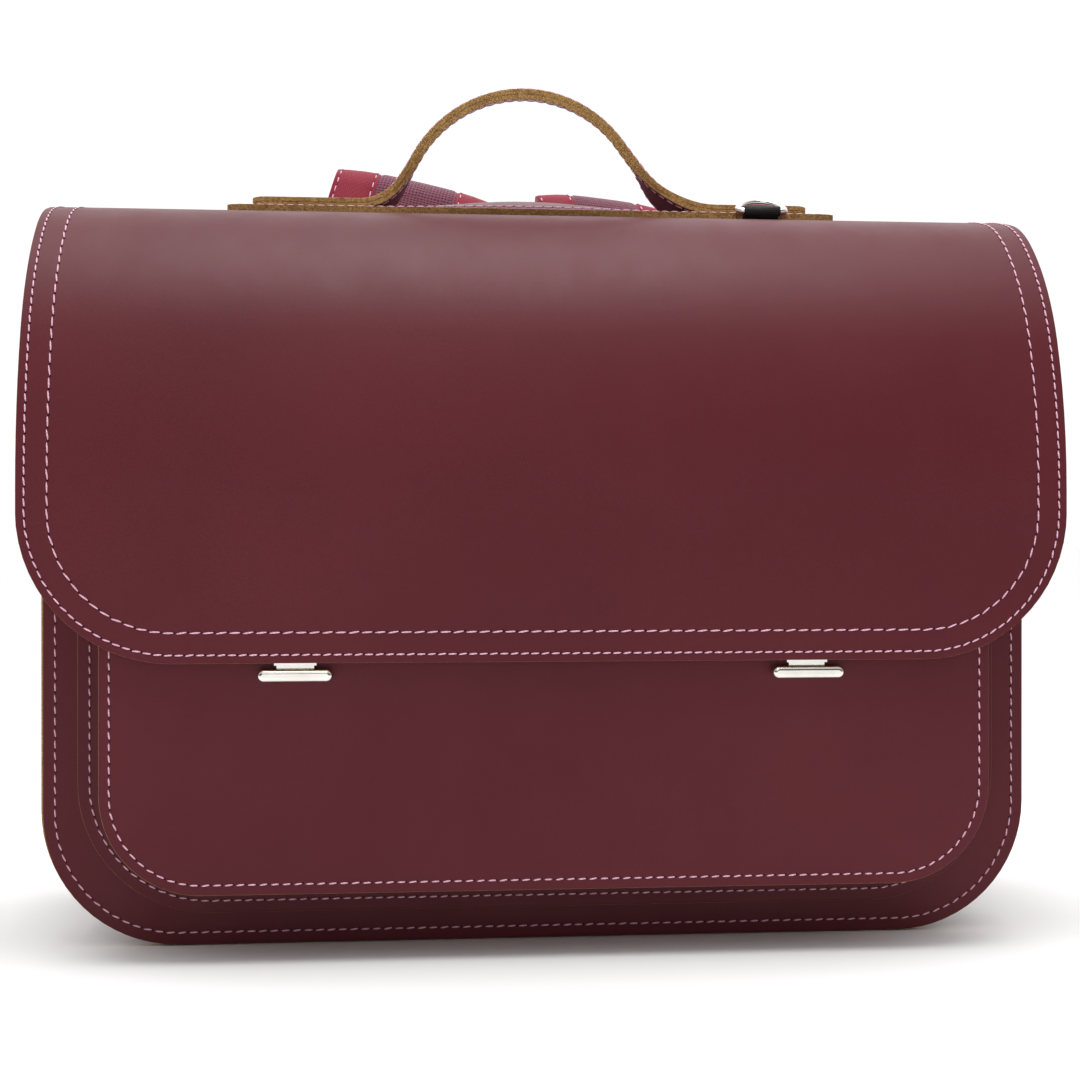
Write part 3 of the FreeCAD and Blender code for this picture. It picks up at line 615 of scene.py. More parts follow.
def spaced(low_x, high_x, parts):
    """Even places between two ends."""
    return [low_x + (high_x - low_x) * index / parts for index in range(parts + 1)]


def trim_corners(bm, centre, radius, ways, plane):
    """Round a convex outline off with cuts that touch a circle."""
    for angle in ways:
        outward = Vector((cos(radians(angle)), 0, sin(radians(angle))))
        if plane == "top":
            outward = Vector((outward.x, outward.z, 0))
        cut(bm, Vector(centre) + outward * radius, outward, trim=True)


flap_half = high.x
columns = spaced(-flap_half, flap_half, 24)
bm = section([(x, low.y, low.z) for x in columns], columns)
sweep(bm, flap_path + tail_path, (low.y, low.z), 90, "side")


def round_flap(bm, side):
    """Round one lower corner of the flap off."""
    ways = [270 + side * (3 + 84 * step / 14) for step in range(15)]
    centre = Vector((side * (flap_half - flap_corner), 0, low.z + flap_corner))
    trim_corners(bm, centre, flap_corner, ways, "front")
    return centre


for side in (-1, 1):
    round_flap(bm, side)
turn_out(bm, (0, -1, 0.3))
flap = leather_sheet("flap_sheet", bm, "leather", None, ["flap_leather", "flap_tail"],
                     flap_thick, 0.6 * mm, True)
bag_side = (0, tail_low.y, fold_z)
flap_side = (0, tail_low.y - 11 * mm, fold_z)
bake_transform(flap, "bag", "flap", start=bag_side, end=flap_side)


flap_length = path_length(flap_path)
for name, inset, pitch, stitch in (("outer", outer_seam, outer_pitch, 3.3 * mm),
                                   ("inner", inner_seam, inner_pitch, 4.2 * mm)):
    flat = tub_line(flap_half - inset, inset, flap_length - 2 * mm, flap_corner - inset, pitch)
    places = []
    for point, angle in flat:
        spot, slope = on_path(flap_path, (low.y, low.z), 90, point.y)
        slope = radians(slope)
        along = Vector((cos(angle), sin(angle) * cos(slope), sin(angle) * sin(slope)))
        places.append((Vector((point.x, spot.x, spot.y)), along,
                       Vector((0, -sin(slope), cos(slope)))))
    row = sew("flap_stitches_" + name, places, None, stitch)
    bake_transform(row, "bag", "flap", start=bag_side, end=flap_side)
tail_row = walk((-flap_half + outer_seam, tail_low.z + outer_seam), 0,
                [(2 * (flap_half - outer_seam), 0)], outer_pitch)
sew("flap_tail_stitches", front_row(tail_row, tail_high.y, 1), "bag", 2.9 * mm)

# ---- Border strip ----
# Thin strip of the same leather behind the flap's edge, cut away at the two catches; it is
# what both rows of the flap's stitches go through.
border_width = 22.0 * mm
border_thick = 1.2 * mm
strip_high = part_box("flap_border_strip")[1]
behind = flap_thick + 0.1 * mm
strip_path = [(size, turn) if turn == 0 else (size - behind, turn) for size, turn in flap_path]
columns = spaced(-flap_half, flap_half, 40)
bm = section([(x, low.y + behind, low.z) for x in columns], columns)
sweep(bm, strip_path, (low.y + behind, low.z), 90, "side", 6.0)
inner_corner = flap_corner - border_width
notch = 17.6 * mm
catch_x = 98.0 * mm
cuts = [((x, 0, 0), (1, 0, 0))
        for edge in (flap_half - border_width, catch_x + notch, catch_x - notch)
        for x in (-edge, edge)]
cuts += [((0, 0, low.z + border_width), (0, 0, 1)), ((0, 0, strip_high.z), (0, 0, 1))]
for side in (-1, 1):
    centre = round_flap(bm, side)
    for step in range(6):
        angle = radians(270 + side * (10 + 14 * step))
        outward = Vector((cos(angle), 0, sin(angle)))
        cuts.append((centre + outward * inner_corner, outward))
for point, normal in cuts:
    cut(bm, point, normal)


def cut_away(point):
    """Whether a point of the reverse is left bare: inside the border, too high, or at a catch."""
    heel = Vector((max(0, abs(point.x) - flap_half + flap_corner), 0,
                   min(0, point.z - low.z - flap_corner)))
    inside = abs(point.x) < flap_half - border_width and point.z > low.z + border_width
    return (point.z > strip_high.z or point.y > 0 or inside and heel.length < inner_corner
            or abs(abs(point.x) - catch_x) < notch and point.z < low.z + border_width)


spare = [face for face in bm.faces if cut_away(face.calc_center_median())]
bmesh.ops.delete(bm, geom=spare, context="FACES")
turn_out(bm, (0, -1, 0))
leather_sheet("border_strip", bm, "lining_leather", "flap", ["flap_border_strip"], border_thick,
              0.25 * mm, finishes=(nap, cut_edge, nap))

# ---- Handle plate ----
# A long leather plate sewn round its edge to the flap's crown. Carrying has pulled its middle
# up a few millimetres between the handle's two ends; hands have made it glossier, and its lighter pink
# colour is a painted sheen.
plate_low, plate_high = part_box("handle_plate")
plate_thick = 2.8 * mm
plate_corner = 8.0 * mm
plate_bulge = 5.8 * mm
plate_middle = (plate_low.y + plate_high.y) / 2
plate_half = plate_high.x
plate_reach = (plate_high.y - plate_low.y) / 2


def on_crown(y):
    """Height of the flap's face at a depth on its crown."""
    return crown_centre.y + (crown_radius ** 2 - (y - crown_centre.x) ** 2) ** 0.5


def plate_top(x, y):
    """Height of the plate's upper face, with its pulled-up middle."""
    across = min(1.0, abs(y - plate_middle) / plate_reach)
    along = min(1.0, abs(x + 4 * mm) / (68 * mm))
    lift = plate_bulge * (1 - across ** 2) * (1 - along ** 2) ** 2
    return on_crown(y) + plate_thick + 0.1 * mm + lift


bm = bmesh.new()
oblong(bm, (0, plate_middle, 0), plate_half, plate_reach, plate_corner, 8)
for index in range(-15, 16):
    cut(bm, (index * plate_half / 16, 0, 0), (1, 0, 0))
for index in range(-4, 5):
    cut(bm, (0, plate_middle + index * plate_reach / 5, 0), (0, 1, 0))
for vert in bm.verts:
    vert.co.z = plate_top(vert.co.x, vert.co.y)
turn_out(bm, (0, 0, 1))
# The plate's lighter pink tones are a painted sheen; its higher gloss (0.75) is the real polish of handling.
plate_painted_sheen_tone = (0.20, 0.045, 0.062, 1)
plate_painted_sheen_deep = (0.15, 0.030, 0.043, 1)
plate_hide_painted_sheen = smooth_leather("glossy_hide_painted_sheen", plate_painted_sheen_tone, plate_painted_sheen_deep, 0.75)
leather_sheet("handle_plate_leather", bm, "leather", "flap", ["handle_plate"], plate_thick,
              0.5 * mm, True, (plate_hide_painted_sheen, cut_edge, nap))


def edge_row(half_x, half_y, corner, inset, pitch):
    """Even steps round a rounded rectangle, inset from its edge."""
    moves = []
    for run in (2 * half_x, 2 * half_y, 2 * half_x, 2 * half_y):
        moves += [(run - 2 * corner, 0), (corner - inset, 90)]
    return walk((-half_x + corner, -half_y + inset), 0, moves, pitch)


places = []
plate_seam = 2.6 * mm
plate_pitch = 4.2 * mm
for point, angle in edge_row(plate_half, plate_reach, plate_corner, plate_seam, plate_pitch):
    x, y = point.x, point.y + plate_middle
    out = Vector((plate_top(x - mm, y) - plate_top(x + mm, y),
                  plate_top(x, y - mm) - plate_top(x, y + mm), 2 * mm)).normalized()
    along = Vector((cos(angle), sin(angle), 0))
    along = (along - out * along.dot(out)).normalized()
    places.append((Vector((x, y, plate_top(x, y))), along, out))
sew("handle_plate_stitches", places, "flap", 3.5 * mm)

# ---- Handle ----
# Two straps of 2 mm leather sewn back to back, bent into an arch and sewn flat to the plate at
# both ends. Its left foot rises a little steeper than its right one.
strap_low, strap_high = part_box("handle_inner_layer")
layer_thick = 2.15 * mm
arch_rise = 50.0 * mm
arch_radius = 54.0 * mm
left_foot = (20.0 * mm, 60.0)
right_foot = (36.0 * mm, 51.0)
arch_x = -3.7 * mm
strap_half = strap_high.x
strap_middle = strap_low.z + layer_thick
flanks = []
reaches = []
for radius, slope in (left_foot, right_foot):
    turn = radians(slope)
    flank = (arch_rise - (radius + arch_radius) * (1 - cos(turn))) / sin(turn)
    flanks.append(flank)
    reaches.append((radius + arch_radius) * sin(turn) + flank * cos(turn))


def handle_path(side):
    """Path of a face of the strap, side above its middle line."""
    return [(strap_half + arch_x - reaches[0], 0), (left_foot[0] - side, left_foot[1]),
            (flanks[0], 0), (arch_radius + side, -left_foot[1] - right_foot[1]), (flanks[1], 0),
            (right_foot[0] - side, right_foot[1]), (strap_half - arch_x - reaches[1], 0)]


hand_y = (strap_low.y + strap_high.y) / 2
hand_half = (strap_high.y - strap_low.y) / 2
hand_corner = 6.0 * mm
hand_lean = radians(13)
hand_twist = 0.09
twist_growth = 1.4
lean_foot = 3.0 * mm
lean_in = 18.0 * mm
row_end = 3.0 * mm
hand_pitch = 4.4 * mm


def clamp(value):
    return min(1.0, max(0.0, value))


def ease(value):
    """Smooth step from 0 to 1."""
    share = clamp(value)
    return share * share * (3 - 2 * share)


def slump(point):
    """Let the arch droop forward over the plate while its feet stay flat."""
    angle = hand_lean * ease((point.z - strap_middle - lean_foot) / lean_in)
    return Matrix.Rotation(angle, 3, "X")


def slump_at(point):
    """Where the drooping, slightly twisted arch takes a point of the upright strap."""
    pivot = Vector((point.x, hand_y, strap_middle))
    spot = pivot + slump(point) @ (point - pivot)
    share = clamp((point.z - strap_middle - lean_foot) / lean_in)
    spot.x += share * (hand_twist + twist_growth * point.x) * (point.y - hand_y)
    return spot


for name, side in (("outer", 1), ("inner", -1)):
    level = strap_middle + side * layer_thick
    columns = spaced(-hand_half, hand_half, 4)
    bm = section([(-strap_half, hand_y + y, level) for y in columns], columns)
    sweep(bm, handle_path(side * layer_thick), (-strap_half, level), 0, "front")
    for x_way in (-1, 1):
        for y_way in (-1, 1):
            spot = (x_way * (strap_half - hand_corner),
                    hand_y + y_way * (hand_half - hand_corner), 0)
            ways = [degrees(atan2(y_way * sin(radians(a)), x_way * cos(radians(a))))
                    for a in range(9, 90, 12)]
            trim_corners(bm, spot, hand_corner, ways, "top")
    turn_out(bm, (0, 0, side))
    for vert in bm.verts:
        vert.co = slump_at(vert.co)
    leather_sheet("handle_" + name, bm, "leather", "flap", ["handle_" + name + "_layer"],
                  layer_thick, 0.3 * mm, True)
for name, y_way in (("front", -1), ("rear", 1)):
    for face, side in (("top", 1), ("under", -1)):
        level = strap_middle + side * layer_thick
        (first, _), *bends, (last, _) = handle_path(side * layer_thick)
        moves = [(first - row_end, 0), *bends, (last - row_end, 0)]
        row = walk((-strap_half + row_end, level), 0, moves, hand_pitch)
        y = hand_y + y_way * (hand_half - plate_seam)
        places = []
        for point, angle in row:
            spot = Vector((point.x, y, point.y))
            turned = slump(spot)
            places.append((slump_at(spot), turned @ Vector((cos(angle), 0, sin(angle))),
                           turned @ Vector((-sin(angle), 0, cos(angle))) * side))
        sew("handle_stitches_" + face + "_" + name, places, "flap", 3.5 * mm)

# ---- Shoulder straps ----
# Foam pads in a sewn cover: crimson ribbed nylon along both edges, burgundy spacer mesh down
# the middle. The unpadded upper ends go under the anchor patch; the pads arch over the top.
strap_half_width = 35.0 * mm
mesh_half = 16.8 * mm
pad_half = 4.5 * mm
edge_half = 1.7 * mm
tip_half = 20.0 * mm
tip_sheet = 1.2 * mm
strap_spread = 14.0
strap_spacing = 84.0 * mm
back_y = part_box("back_panel")[1].y
anchor_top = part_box("strap_anchor_patch")[1].z
tongue_path = [(40.0 * mm, 0), (25.0 * mm, -24), (15.0 * mm, 0)]
tongue_start = (back_y + tip_sheet, anchor_top - 38.0 * mm)
pad_foot_height = 122.0 * mm
edge_seam = 33.2 * mm
mesh_seam = mesh_half + 1.6 * mm
pad_pitch = 5.2 * mm
pad_start, pad_heading = end_of(tongue_start, 90, tongue_path)
pad_rise = [(62.0 * mm, 0), (13.0 * mm, -152)]
peak_end, down = end_of(pad_start, pad_heading, pad_rise)
strap_peak = end_of(pad_start, pad_heading, pad_rise[:1])[0].y + pad_half
foot_bend = (80.0 * mm, 28)
low_heading = radians(down - 32)
fall = peak_end.y - pad_foot_height - foot_bend[0] * abs(cos(low_heading))
bow = fall / (cos(radians(down)) - cos(low_heading))
slump_from = 0.275
# How each strap's top lies: sag, roll, how much wider it spreads, shift to its right.
top_lie = {-1: (-2 * mm, 0.0, 0.16, -7 * mm), 1: (5 * mm, 0.36, 0.0, 4 * mm)}
pad_path = pad_rise + [(bow, -32), foot_bend]
pad_end = end_of(pad_start, pad_heading, pad_path)[0]


def ribbed_nylon(name, tone, deep):
    """Packcloth with a fine rib across the strap."""
    cloth = Finish(name, Specular_IOR_Level=0.20, Sheen_Weight=0.06, Sheen_Roughness=0.4)
    weave = cloth.cloth()
    warp = cloth.bands(weave, 330.0, "X")
    weft = cloth.bands(weave, 420.0, "Y")
    cloud = cloth.noise(cloth.place(), 40.0, 4.0)
    lattice = warp * 0.5 + weft * 0.5
    tint = cloth.blend(cloth.ramp(lattice, 0.1, 0.75), deep, tone)
    tint = cloth.blend(cloth.ramp(cloud, 0.45, 0.75) * 0.35, tint, deep)
    return cloth.set(Base_Color=tint, Roughness=cloth.ramp(cloud, 0, 1) * 0.1 + 0.5,
                     Normal=cloth.relief(lattice, 0.22 * mm, 0.7))


def spacer_mesh(name):
    """Knitted mesh with rows of small round holes."""
    knit = Finish(name, Specular_IOR_Level=0.25, Sheen_Weight=0.3, Sheen_Roughness=0.5)
    holes = knit.node("ShaderNodeTexVoronoi", {"feature": "F1", "voronoi_dimensions": "2D"},
                      {"Vector": knit.cloth(), "Scale": 720.0, "Randomness": 0.12})
    dot = knit.ramp(holes, 0.40, 0.26)
    fibre = knit.noise(knit.place(), 900.0, 4.0)
    tint = knit.blend(dot, (0.205, 0.034, 0.075, 1), (0.035, 0.006, 0.012, 1))
    tint = knit.blend(knit.ramp(fibre, 0.5, 0.8) * 0.3, tint, (0.33, 0.09, 0.15, 1))
    return knit.set(Base_Color=tint, Roughness=knit.ramp(fibre, 0, 1) * 0.1 + 0.72,
                    Normal=knit.relief((1 - dot) + fibre * 0.2, 0.5 * mm, 0.8))


crimson = ribbed_nylon("crimson_nylon", (0.30, 0.006, 0.032, 1), (0.17, 0.003, 0.018, 1))
mesh_cloth = spacer_mesh("burgundy_spacer_mesh")


def closed_section(outline, place):
    """Closed section of a strap from (across, up) corners."""
    return section([place(x, up) for x, up in outline], [x for x, up in outline], closed=True)


def close_ends(bm):
    """Cap a swept section and write its across and along distances to a UV map."""
    bmesh.ops.holes_fill(bm, edges=[edge for edge in bm.edges if edge.is_boundary], sides=0)
    bmesh.ops.remove_doubles(bm, verts=bm.verts, dist=0.005 * mm)
    bmesh.ops.recalc_face_normals(bm, faces=bm.faces)
    across = bm.verts.layers.float["across"]
    run = bm.verts.layers.float["run"]
    weave = bm.loops.layers.uv.new("weave")
    for face in bm.faces:
        for loop in face.loops:
            loop[weave].uv = (loop.vert[across], loop.vert[run])
    return bm


def spread_at(point, side):
    """Where a point of a strap's piece goes: to its side, tilted outward about the strap's top."""
    pivot = Vector((0, 0, strap_peak))
    turn = Matrix.Rotation(radians(-side * strap_spread), 3, "Y")
    return Vector((side * strap_spacing / 2, 0, 0)) + pivot + turn @ (Vector(point) - pivot)


def spread(bm, side):
    """Place all of a strap's piece."""
    for vert in bm.verts:
        vert.co = spread_at(vert.co, side)
    return bm


def lie_at(point, side):
    """Where a strap that has slumped over the bag's top takes a point of a neat one."""
    spot = spread_at(point, side)
    share = ease((spot.z - slump_from) / (strap_peak - slump_from))
    sag, roll, wider, shift = top_lie[side]
    off = spot.x - side * strap_spacing / 2
    spot.z -= share * (sag + roll * off)
    spot.x += share * (shift + wider * off)
    return spot


def pad_up(x):
    """Half thickness of the crowned pad: thin sewn edges, and a dip at each seam."""
    up = edge_half + (pad_half - edge_half) * max(0.0, 1 - (abs(x) / strap_half_width) ** 3)
    return up - 0.7 * mm if abs(abs(x) - mesh_half) < 0.2 * mm else up


def pad_outline():
    """Closed section of the pad."""
    columns = [-35, -33, -30, -24, -18, -16.8, -15, -9, 0, 9, 15, 16.8, 18, 24, 30, 33, 35]
    upper = [(column * mm, pad_up(column * mm)) for column in columns]
    return upper + [(x, -up) for x, up in reversed(upper)]


def pad_at(x, up, distance, side):
    """Point on or near a pad: across it, above its middle layer, and along it."""
    here, heading = on_path(pad_path, pad_start, pad_heading, distance)
    angle = radians(heading)
    return lie_at((x, here.x - up * sin(angle), here.y + up * cos(angle)), side)


pad_length = path_length(pad_path)
for name, side in (("left", -1), ("right", 1)):
    angle = radians(pad_heading)
    left = Vector((0, -sin(angle), cos(angle)))
    bm = closed_section(pad_outline(),
                        lambda x, up: Vector((x, pad_start.x, pad_start.y)) + left * up)
    sweep(bm, pad_path, pad_start, pad_heading, "side", 5.0)
    close_ends(bm)
    across = bm.verts.layers.float["across"]
    for face in bm.faces:
        middle = sum(vert[across] for vert in face.verts) / len(face.verts)
        face.material_index = 1 if abs(middle) < mesh_half else 0
    tongue = [(x * tip_half, up * tip_sheet) for x, up in ((-1, 1), (1, 1), (1, -1), (-1, -1))]
    tip = closed_section(tongue, lambda x, up: (x, tongue_start[0] - up, tongue_start[1]))
    sweep(tip, tongue_path + [(3 * mm, 0)], tongue_start, 90, "side", 5.0)
    close_ends(tip)
    joined = bpy.data.meshes.new("strap_tip")
    tip.to_mesh(joined)
    tip.free()
    bm.from_mesh(joined)
    for vert in bm.verts:
        vert.co = lie_at(vert.co, side)
    pad = make("shoulder_pad_" + name, bm, (crimson, mesh_cloth), "strap_cloth", "bag",
               "shoulder_strap_" + name)
    places = []
    for face in (1, -1):
        for x in (-edge_seam, -mesh_seam, mesh_seam, edge_seam):
            up = pad_up(x)
            distance = 6 * mm
            while distance < pad_length - 3 * mm:
                here, ahead, out = (pad_at(x, face * rise, distance + step, side)
                                    for rise, step in ((up, 0), (up, mm), (up + mm, 0)))
                way = (ahead - here).normalized()
                off = out - here
                places.append((here, way, (off - way * off.dot(way)).normalized()))
                distance += pad_pitch
    sew("pad_stitches_" + name, places, "bag", 3.8 * mm, slant=3.0)

# ---- Strap webbing, adjusters and tabs ----
# Crimson 25 mm webbing runs from a leather tab near the bottom corner up through a moulded
# three-bar slider and back down to a loose tail. A short tag holds the slider to the pad.
web_half = 12.5 * mm
web_sheet = 0.8 * mm
wrap = 1.5 * mm + 0.2 * mm + web_sheet
tag_drop = 7.0 * mm
bar_gap = 9.5 * mm
web_tail = 48.0 * mm
web_bend = 20.0 * mm
tag_half = 11.0 * mm
tab_length = 34.0 * mm
foot_to_tab = pad_foot_height - 26.0 * mm - tab_length
webbing = ribbed_nylon("crimson_webbing", (0.26, 0.008, 0.034, 1), (0.11, 0.003, 0.014, 1))


def web_outline(half, sheet=web_sheet, soft=0.7 * mm):
    """Webbing's section, with soft edges."""
    flat = half - soft
    return [(-half, 0), (-flat, sheet), (flat, sheet), (half, 0), (flat, -sheet), (-flat, -sheet)]


shift = pad_end.x - wrap - (back_y + web_sheet + 0.05 * mm)
swing = acos(1 - shift / (2 * web_bend))
straight = foot_to_tab - tag_drop - bar_gap - 2 * web_bend * sin(swing)
for name, side in (("left", -1), ("right", 1)):
    turn_z = pad_foot_height - tag_drop - bar_gap
    start = (pad_end.x + wrap, turn_z - web_tail)
    bm = closed_section(web_outline(web_half), lambda x, up: (x, start[0] - up, start[1]))
    sweep(bm, [(web_tail, 0), (wrap, 180), (straight, 0), (web_bend, -degrees(swing)),
               (web_bend, degrees(swing)), (tab_length - 4 * mm, 0)], start, 90, "side", 12.0)
    spread(close_ends(bm), side)
    make("strap_web_" + name, bm, (webbing,), "webbing", "bag", "strap_webbing_" + name)
    start = (pad_end.x - wrap, pad_foot_height)
    bm = closed_section(web_outline(tag_half), lambda x, up: (x, start[0] + up, start[1]))
    sweep(bm, [(tag_drop, 0), (wrap, 180), (tag_drop, 0)], start, -90, "side", 12.0)
    spread(close_ends(bm), side)
    make("slider_tag_" + name, bm, (webbing,), "webbing", "bag", "strap_tag_" + name)

# ---- Anchor patch and lower tabs ----
# Pieces of the bag's leather sewn to the back panel round their edges. They stand up where
# they go over the straps' ends and the webbing.
patch_thick = 2.5 * mm
patch_low, patch_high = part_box("strap_anchor_patch")
patch_corner = 9.0 * mm
patch_seam = 2.4 * mm
tab_half = 18.0 * mm
tab_corner = 5.0 * mm
tab_middle = 43.0 * mm


def step_up(reach, width):
    """1 under a covered strip's middle, falling to 0 just outside its edge."""
    return 1 - ease((reach - width) / (3.5 * mm))


def patch_out(x, z):
    """Outer face of the anchor patch over the two strap ends."""
    middle = strap_spacing / 2 + (strap_peak - z) * tan(radians(strap_spread))
    end = clamp((z - anchor_top + 41 * mm) / (3 * mm))
    return back_y + patch_thick + 2.4 * mm * end * step_up(abs(abs(x) - middle), 19.5 * mm)


def tab_out(x, z):
    """Outer face of a tab over the webbing's end."""
    end = clamp((z - 28.5 * mm) / (3 * mm))
    return back_y + patch_thick + 1.7 * mm * end * step_up(abs(x), 12 * mm)


def lay_patch(name, middle_z, half_x, half_z, corner, face, place, node):
    """Rounded leather patch that follows what is under it, with its row of stitches."""
    bm = bmesh.new()
    oblong(bm, (0, 0, middle_z), half_x, half_z, corner, 6, upright_plane)
    count = round(half_x / (1.5 * mm))
    for index in range(1 - count, count):
        cut(bm, (half_x * index / count, 0, 0), (1, 0, 0))
    for index in range(1, 12):
        cut(bm, (0, 0, middle_z - half_z + index * half_z / 6), (0, 0, 1))
    for vert in bm.verts:
        vert.co.y = face(vert.co.x, vert.co.z)
    turn_out(bm, (0, 1, 0))
    for vert in bm.verts:
        vert.co = place(vert.co)
    leather_sheet(name, bm, "leather", "bag", [node], patch_thick, bare=True)
    places = []
    for point, angle in edge_row(half_x, half_z, corner, patch_seam, plate_pitch):
        x, z = point.x, point.y + middle_z
        here = place(Vector((x, face(x, z), z)))
        next_x, next_z = x + mm * cos(angle), z + mm * sin(angle)
        ahead = place(Vector((next_x, face(next_x, next_z), next_z)))
        way = (ahead - here).normalized()
        out = Vector((0, 1, 0))
        places.append((here, way, (out - way * out.dot(way)).normalized()))
    sew(name + "_stitches", places, "bag", 3.4 * mm)


lay_patch("anchor_patch", (patch_low.z + patch_high.z) / 2, patch_high.x,
          (patch_high.z - patch_low.z) / 2, patch_corner, patch_out, Vector, "strap_anchor_patch")
for name, side in (("left", -1), ("right", 1)):
    lay_patch("web_tab_" + name, tab_middle, tab_half, tab_length / 2, tab_corner, tab_out,
              lambda point, side=side: spread_at(point, side), "lower_tab_" + name)

# ---- Ring loop ----
# Black webbing folded round the ring's bar, its tail tucked under the handle plate.
ring_middle = (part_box("ring_loop")[0].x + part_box("ring_loop")[1].x) / 2
loop_half = 7.8 * mm
loop_sheet = 0.37 * mm
bar_forward = 3.4 * mm
bar_up = 3.4 * mm
loop_wrap = 1.6 * mm + loop_sheet
lean = atan2(crown_centre.x - plate_low.y, on_crown(plate_low.y) - crown_centre.y)
tuck = (7.5 * mm, bar_up - loop_wrap)
bm = closed_section(web_outline(loop_half, loop_sheet, 0.3 * mm),
                    lambda x, up: (x, tuck[0], tuck[1] - up))
sweep(bm, [(tuck[0] + bar_forward, 0), (loop_wrap, -262), (4 * mm, 0)], tuck, 180, "side", 14.0)
close_ends(bm)
turn = Matrix.Rotation(lean, 3, "X")
for vert in bm.verts:
    vert.co = turn @ vert.co + Vector((ring_middle, plate_low.y, on_crown(plate_low.y)))
black_web = ribbed_nylon("black_webbing", (0.022, 0.021, 0.022, 1), (0.006, 0.006, 0.006, 1))
make("ring_webbing", bm, (black_web,), "webbing", "flap", "ring_loop")

# ---- Metal and moulded parts ----
# Catches and ring are nickel-plated and polished; hidden rivets and plates are plain steel;
# the sliders are black moulded plastic. These keep the shapes they were designed with.


def polished_nickel(name):
    """Bright plating with faint wiping marks."""
    metal = Finish(name, Metallic=1.0, Specular_IOR_Level=0.5)
    where = metal.place()
    marks = metal.noise(metal.place((1, 1, 6)), 500.0, 5.0, 0.7)
    cloud = metal.noise(where, 90.0)
    tint = metal.blend(metal.ramp(cloud, 0.3, 0.7), (0.72, 0.69, 0.63, 1), (0.84, 0.82, 0.77, 1))
    return metal.set(Base_Color=tint, Roughness=metal.ramp(marks, 0.3, 0.8) * 0.10 + 0.09,
                     Normal=metal.relief(marks, 0.02 * mm, 0.2))


def plain_steel(name):
    """Dull zinc-plated steel with drawing lines."""
    metal = Finish(name, Metallic=1.0)
    lines = metal.noise(metal.place((1, 1, 12)), 700.0, 4.0, 0.7)
    cloud = metal.noise(metal.place(), 120.0)
    tint = metal.blend(metal.ramp(cloud, 0.3, 0.7), (0.42, 0.42, 0.42, 1), (0.60, 0.60, 0.59, 1))
    return metal.set(Base_Color=tint, Roughness=metal.ramp(lines, 0.2, 0.8) * 0.2 + 0.28,
                     Normal=metal.relief(lines, 0.03 * mm, 0.4))


def moulded_plastic(name):
    """Black acetal with a fine spark-eroded texture."""
    resin = Finish(name, Specular_IOR_Level=0.45)
    grit = resin.noise(resin.place(), 1800.0, 3.0, 0.7)
    cloud = resin.noise(resin.place(), 60.0)
    tint = resin.blend(resin.ramp(cloud, 0.3, 0.7), (0.012, 0.012, 0.013, 1),
                       (0.028, 0.027, 0.028, 1))
    return resin.set(Base_Color=tint, Roughness=resin.ramp(grit, 0.3, 0.7) * 0.12 + 0.42,
                     Normal=resin.relief(grit, 0.05 * mm, 0.4))


nickel = polished_nickel("polished_nickel")
steel = plain_steel("plain_steel")
resin = moulded_plastic("black_acetal")
worn = {
    nickel: ["d_ring"] + [part + end for part in ("lock_case", "lock_slide", "lock_tongue")
                          for end in ("_left", "_right")],
    steel: ["lock_rivets", "tongue_rivets", "lock_back_plate_left", "lock_back_plate_right"],
    resin: ["strap_adjuster_left", "strap_adjuster_right"],
}
for finish, nodes in worn.items():
    for node in nodes:
        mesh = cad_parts[node].data
        mesh.materials.clear()
        mesh.materials.append(finish.material)

# ---- Catch springs ----
# Two coil springs of 0.5 mm wire under each catch's carriage. They stand on the floor of the
# case.
wire = 0.25 * mm
end_gap = 0.08 * mm
turns = 4
turn_steps = 20
for name in ("left", "right"):
    spring_low, spring_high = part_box("lock_springs_" + name)
    coil_radius = (spring_high.y - spring_low.y) / 2 - wire
    foot = Vector((spring_low.x + coil_radius + wire, (spring_low.y + spring_high.y) / 2,
                   spring_low.z + wire + end_gap))
    rise = (spring_high.z - spring_low.z - 2 * (wire + end_gap)) / (turns * turn_steps)
    apart = spring_high.x - spring_low.x - 2 * (coil_radius + wire)
    bm = bmesh.new()
    bmesh.ops.create_circle(bm, cap_ends=True, segments=8, radius=wire,
                            matrix=Matrix.Translation(foot + Vector((coil_radius, 0, 0)))
                            @ Matrix.Rotation(pi / 2, 4, "X"))
    bmesh.ops.spin(bm, geom=bm.verts[:] + bm.edges[:] + bm.faces[:], cent=foot, axis=(0, 0, 1),
                   dvec=(0, 0, rise), angle=2 * pi * turns, steps=turns * turn_steps)
    twin = bmesh.ops.duplicate(bm, geom=bm.verts[:] + bm.edges[:] + bm.faces[:])
    second = [part for part in twin["geom"] if isinstance(part, bmesh.types.BMVert)]
    bmesh.ops.translate(bm, vec=(apart, 0, 0), verts=second)
    bmesh.ops.recalc_face_normals(bm, faces=bm.faces)
    springs = make("catch_springs_" + name, bm, (steel,), "steel", "bag",
                   "lock_springs_" + name)
    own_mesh(springs)

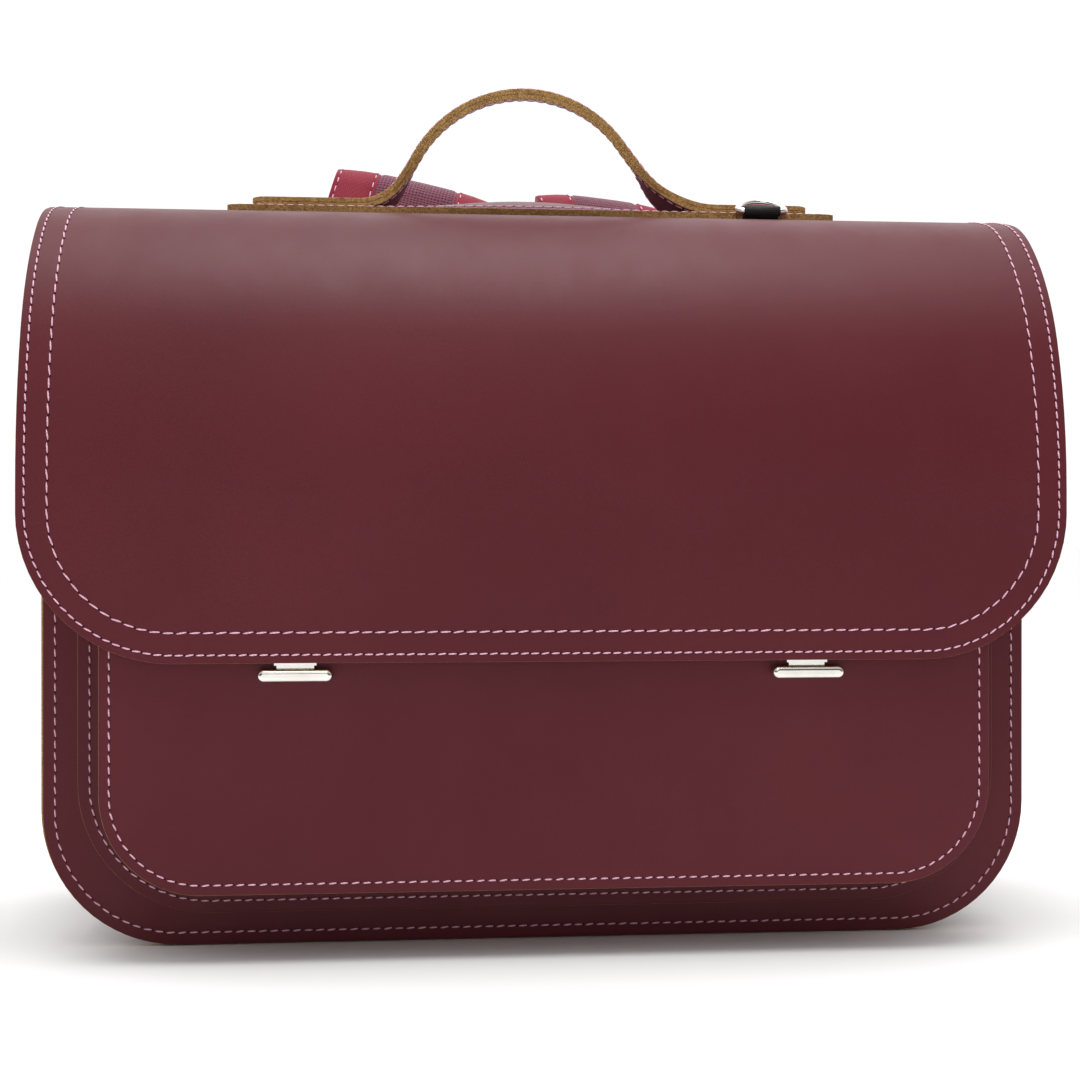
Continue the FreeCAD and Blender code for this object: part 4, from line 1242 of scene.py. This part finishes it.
# ---- Studio ----
# Pale floor and soft overhead light; the camera stands low, a little left of the middle, and
# turned slightly right.
floor_half = 40.0
bm = bmesh.new()
bmesh.ops.create_grid(bm, x_segments=1, y_segments=1, size=floor_half)
floor_mesh = bpy.data.meshes.new("floor")
bm.to_mesh(floor_mesh)
bm.free()
paper = Finish("pale_paper", Roughness=0.8, Base_Color=(0.92, 0.92, 0.92, 1))
floor_mesh.materials.append(paper.material)
floor = bpy.data.objects.new("floor", floor_mesh)
bpy.context.collection.objects.link(floor)

sky = bpy.data.worlds.new("studio")
sky.use_nodes = True
tree = sky.node_tree
where = tree.nodes.new("ShaderNodeTexCoord")
split = tree.nodes.new("ShaderNodeSeparateXYZ")
total = tree.nodes.new("ShaderNodeMath")
tree.links.new(where.outputs["Generated"], split.inputs[0])
for index, (axis, span) in enumerate((("Y", (-0.75, 0.55, 0.10, 1.05)),
                                      ("Z", (0.35, 0.95, 0.0, 0.8)))):
    fade = tree.nodes.new("ShaderNodeMapRange")
    for socket, value in zip(("From Min", "From Max", "To Min", "To Max"), span):
        fade.inputs[socket].default_value = value
    tree.links.new(split.outputs[axis], fade.inputs["Value"])
    tree.links.new(fade.outputs[0], total.inputs[index])
tree.links.new(total.outputs[0], tree.nodes["Background"].inputs["Strength"])
tree.nodes["Background"].inputs["Color"].default_value = (1, 1, 1, 1)
bpy.context.scene.world = sky
bpy.context.scene.view_settings.view_transform = "Standard"


def softbox(name, place, aim, size, power):
    """Square area light aimed at a point."""
    lamp = bpy.data.lights.new(name, "AREA")
    lamp.shape = "SQUARE"
    lamp.size = size
    lamp.energy = power
    stand = bpy.data.objects.new(name, lamp)
    stand.location = place
    stand.rotation_euler = (Vector(aim) - Vector(place)).to_track_quat("-Z", "Y").to_euler()
    bpy.context.collection.objects.link(stand)


softbox("overhead", (0.0, -0.22, 1.5), (0, 0, 0.2), 0.8, 13)
softbox("front", (-0.2, -1.7, 0.9), (0, 0, 0.12), 0.9, 3)

camera = bpy.data.cameras.new("camera")
camera.sensor_width = 36
camera.lens = 56.6
camera.clip_end = 50
stand = bpy.data.objects.new("camera", camera)
stand.location = (-0.0648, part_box("flap_leather")[0].y - 0.6397, 0.1606)
stand.rotation_euler = (pi / 2, 0, radians(-5.25))
bpy.context.collection.objects.link(stand)
bpy.context.scene.camera = stand
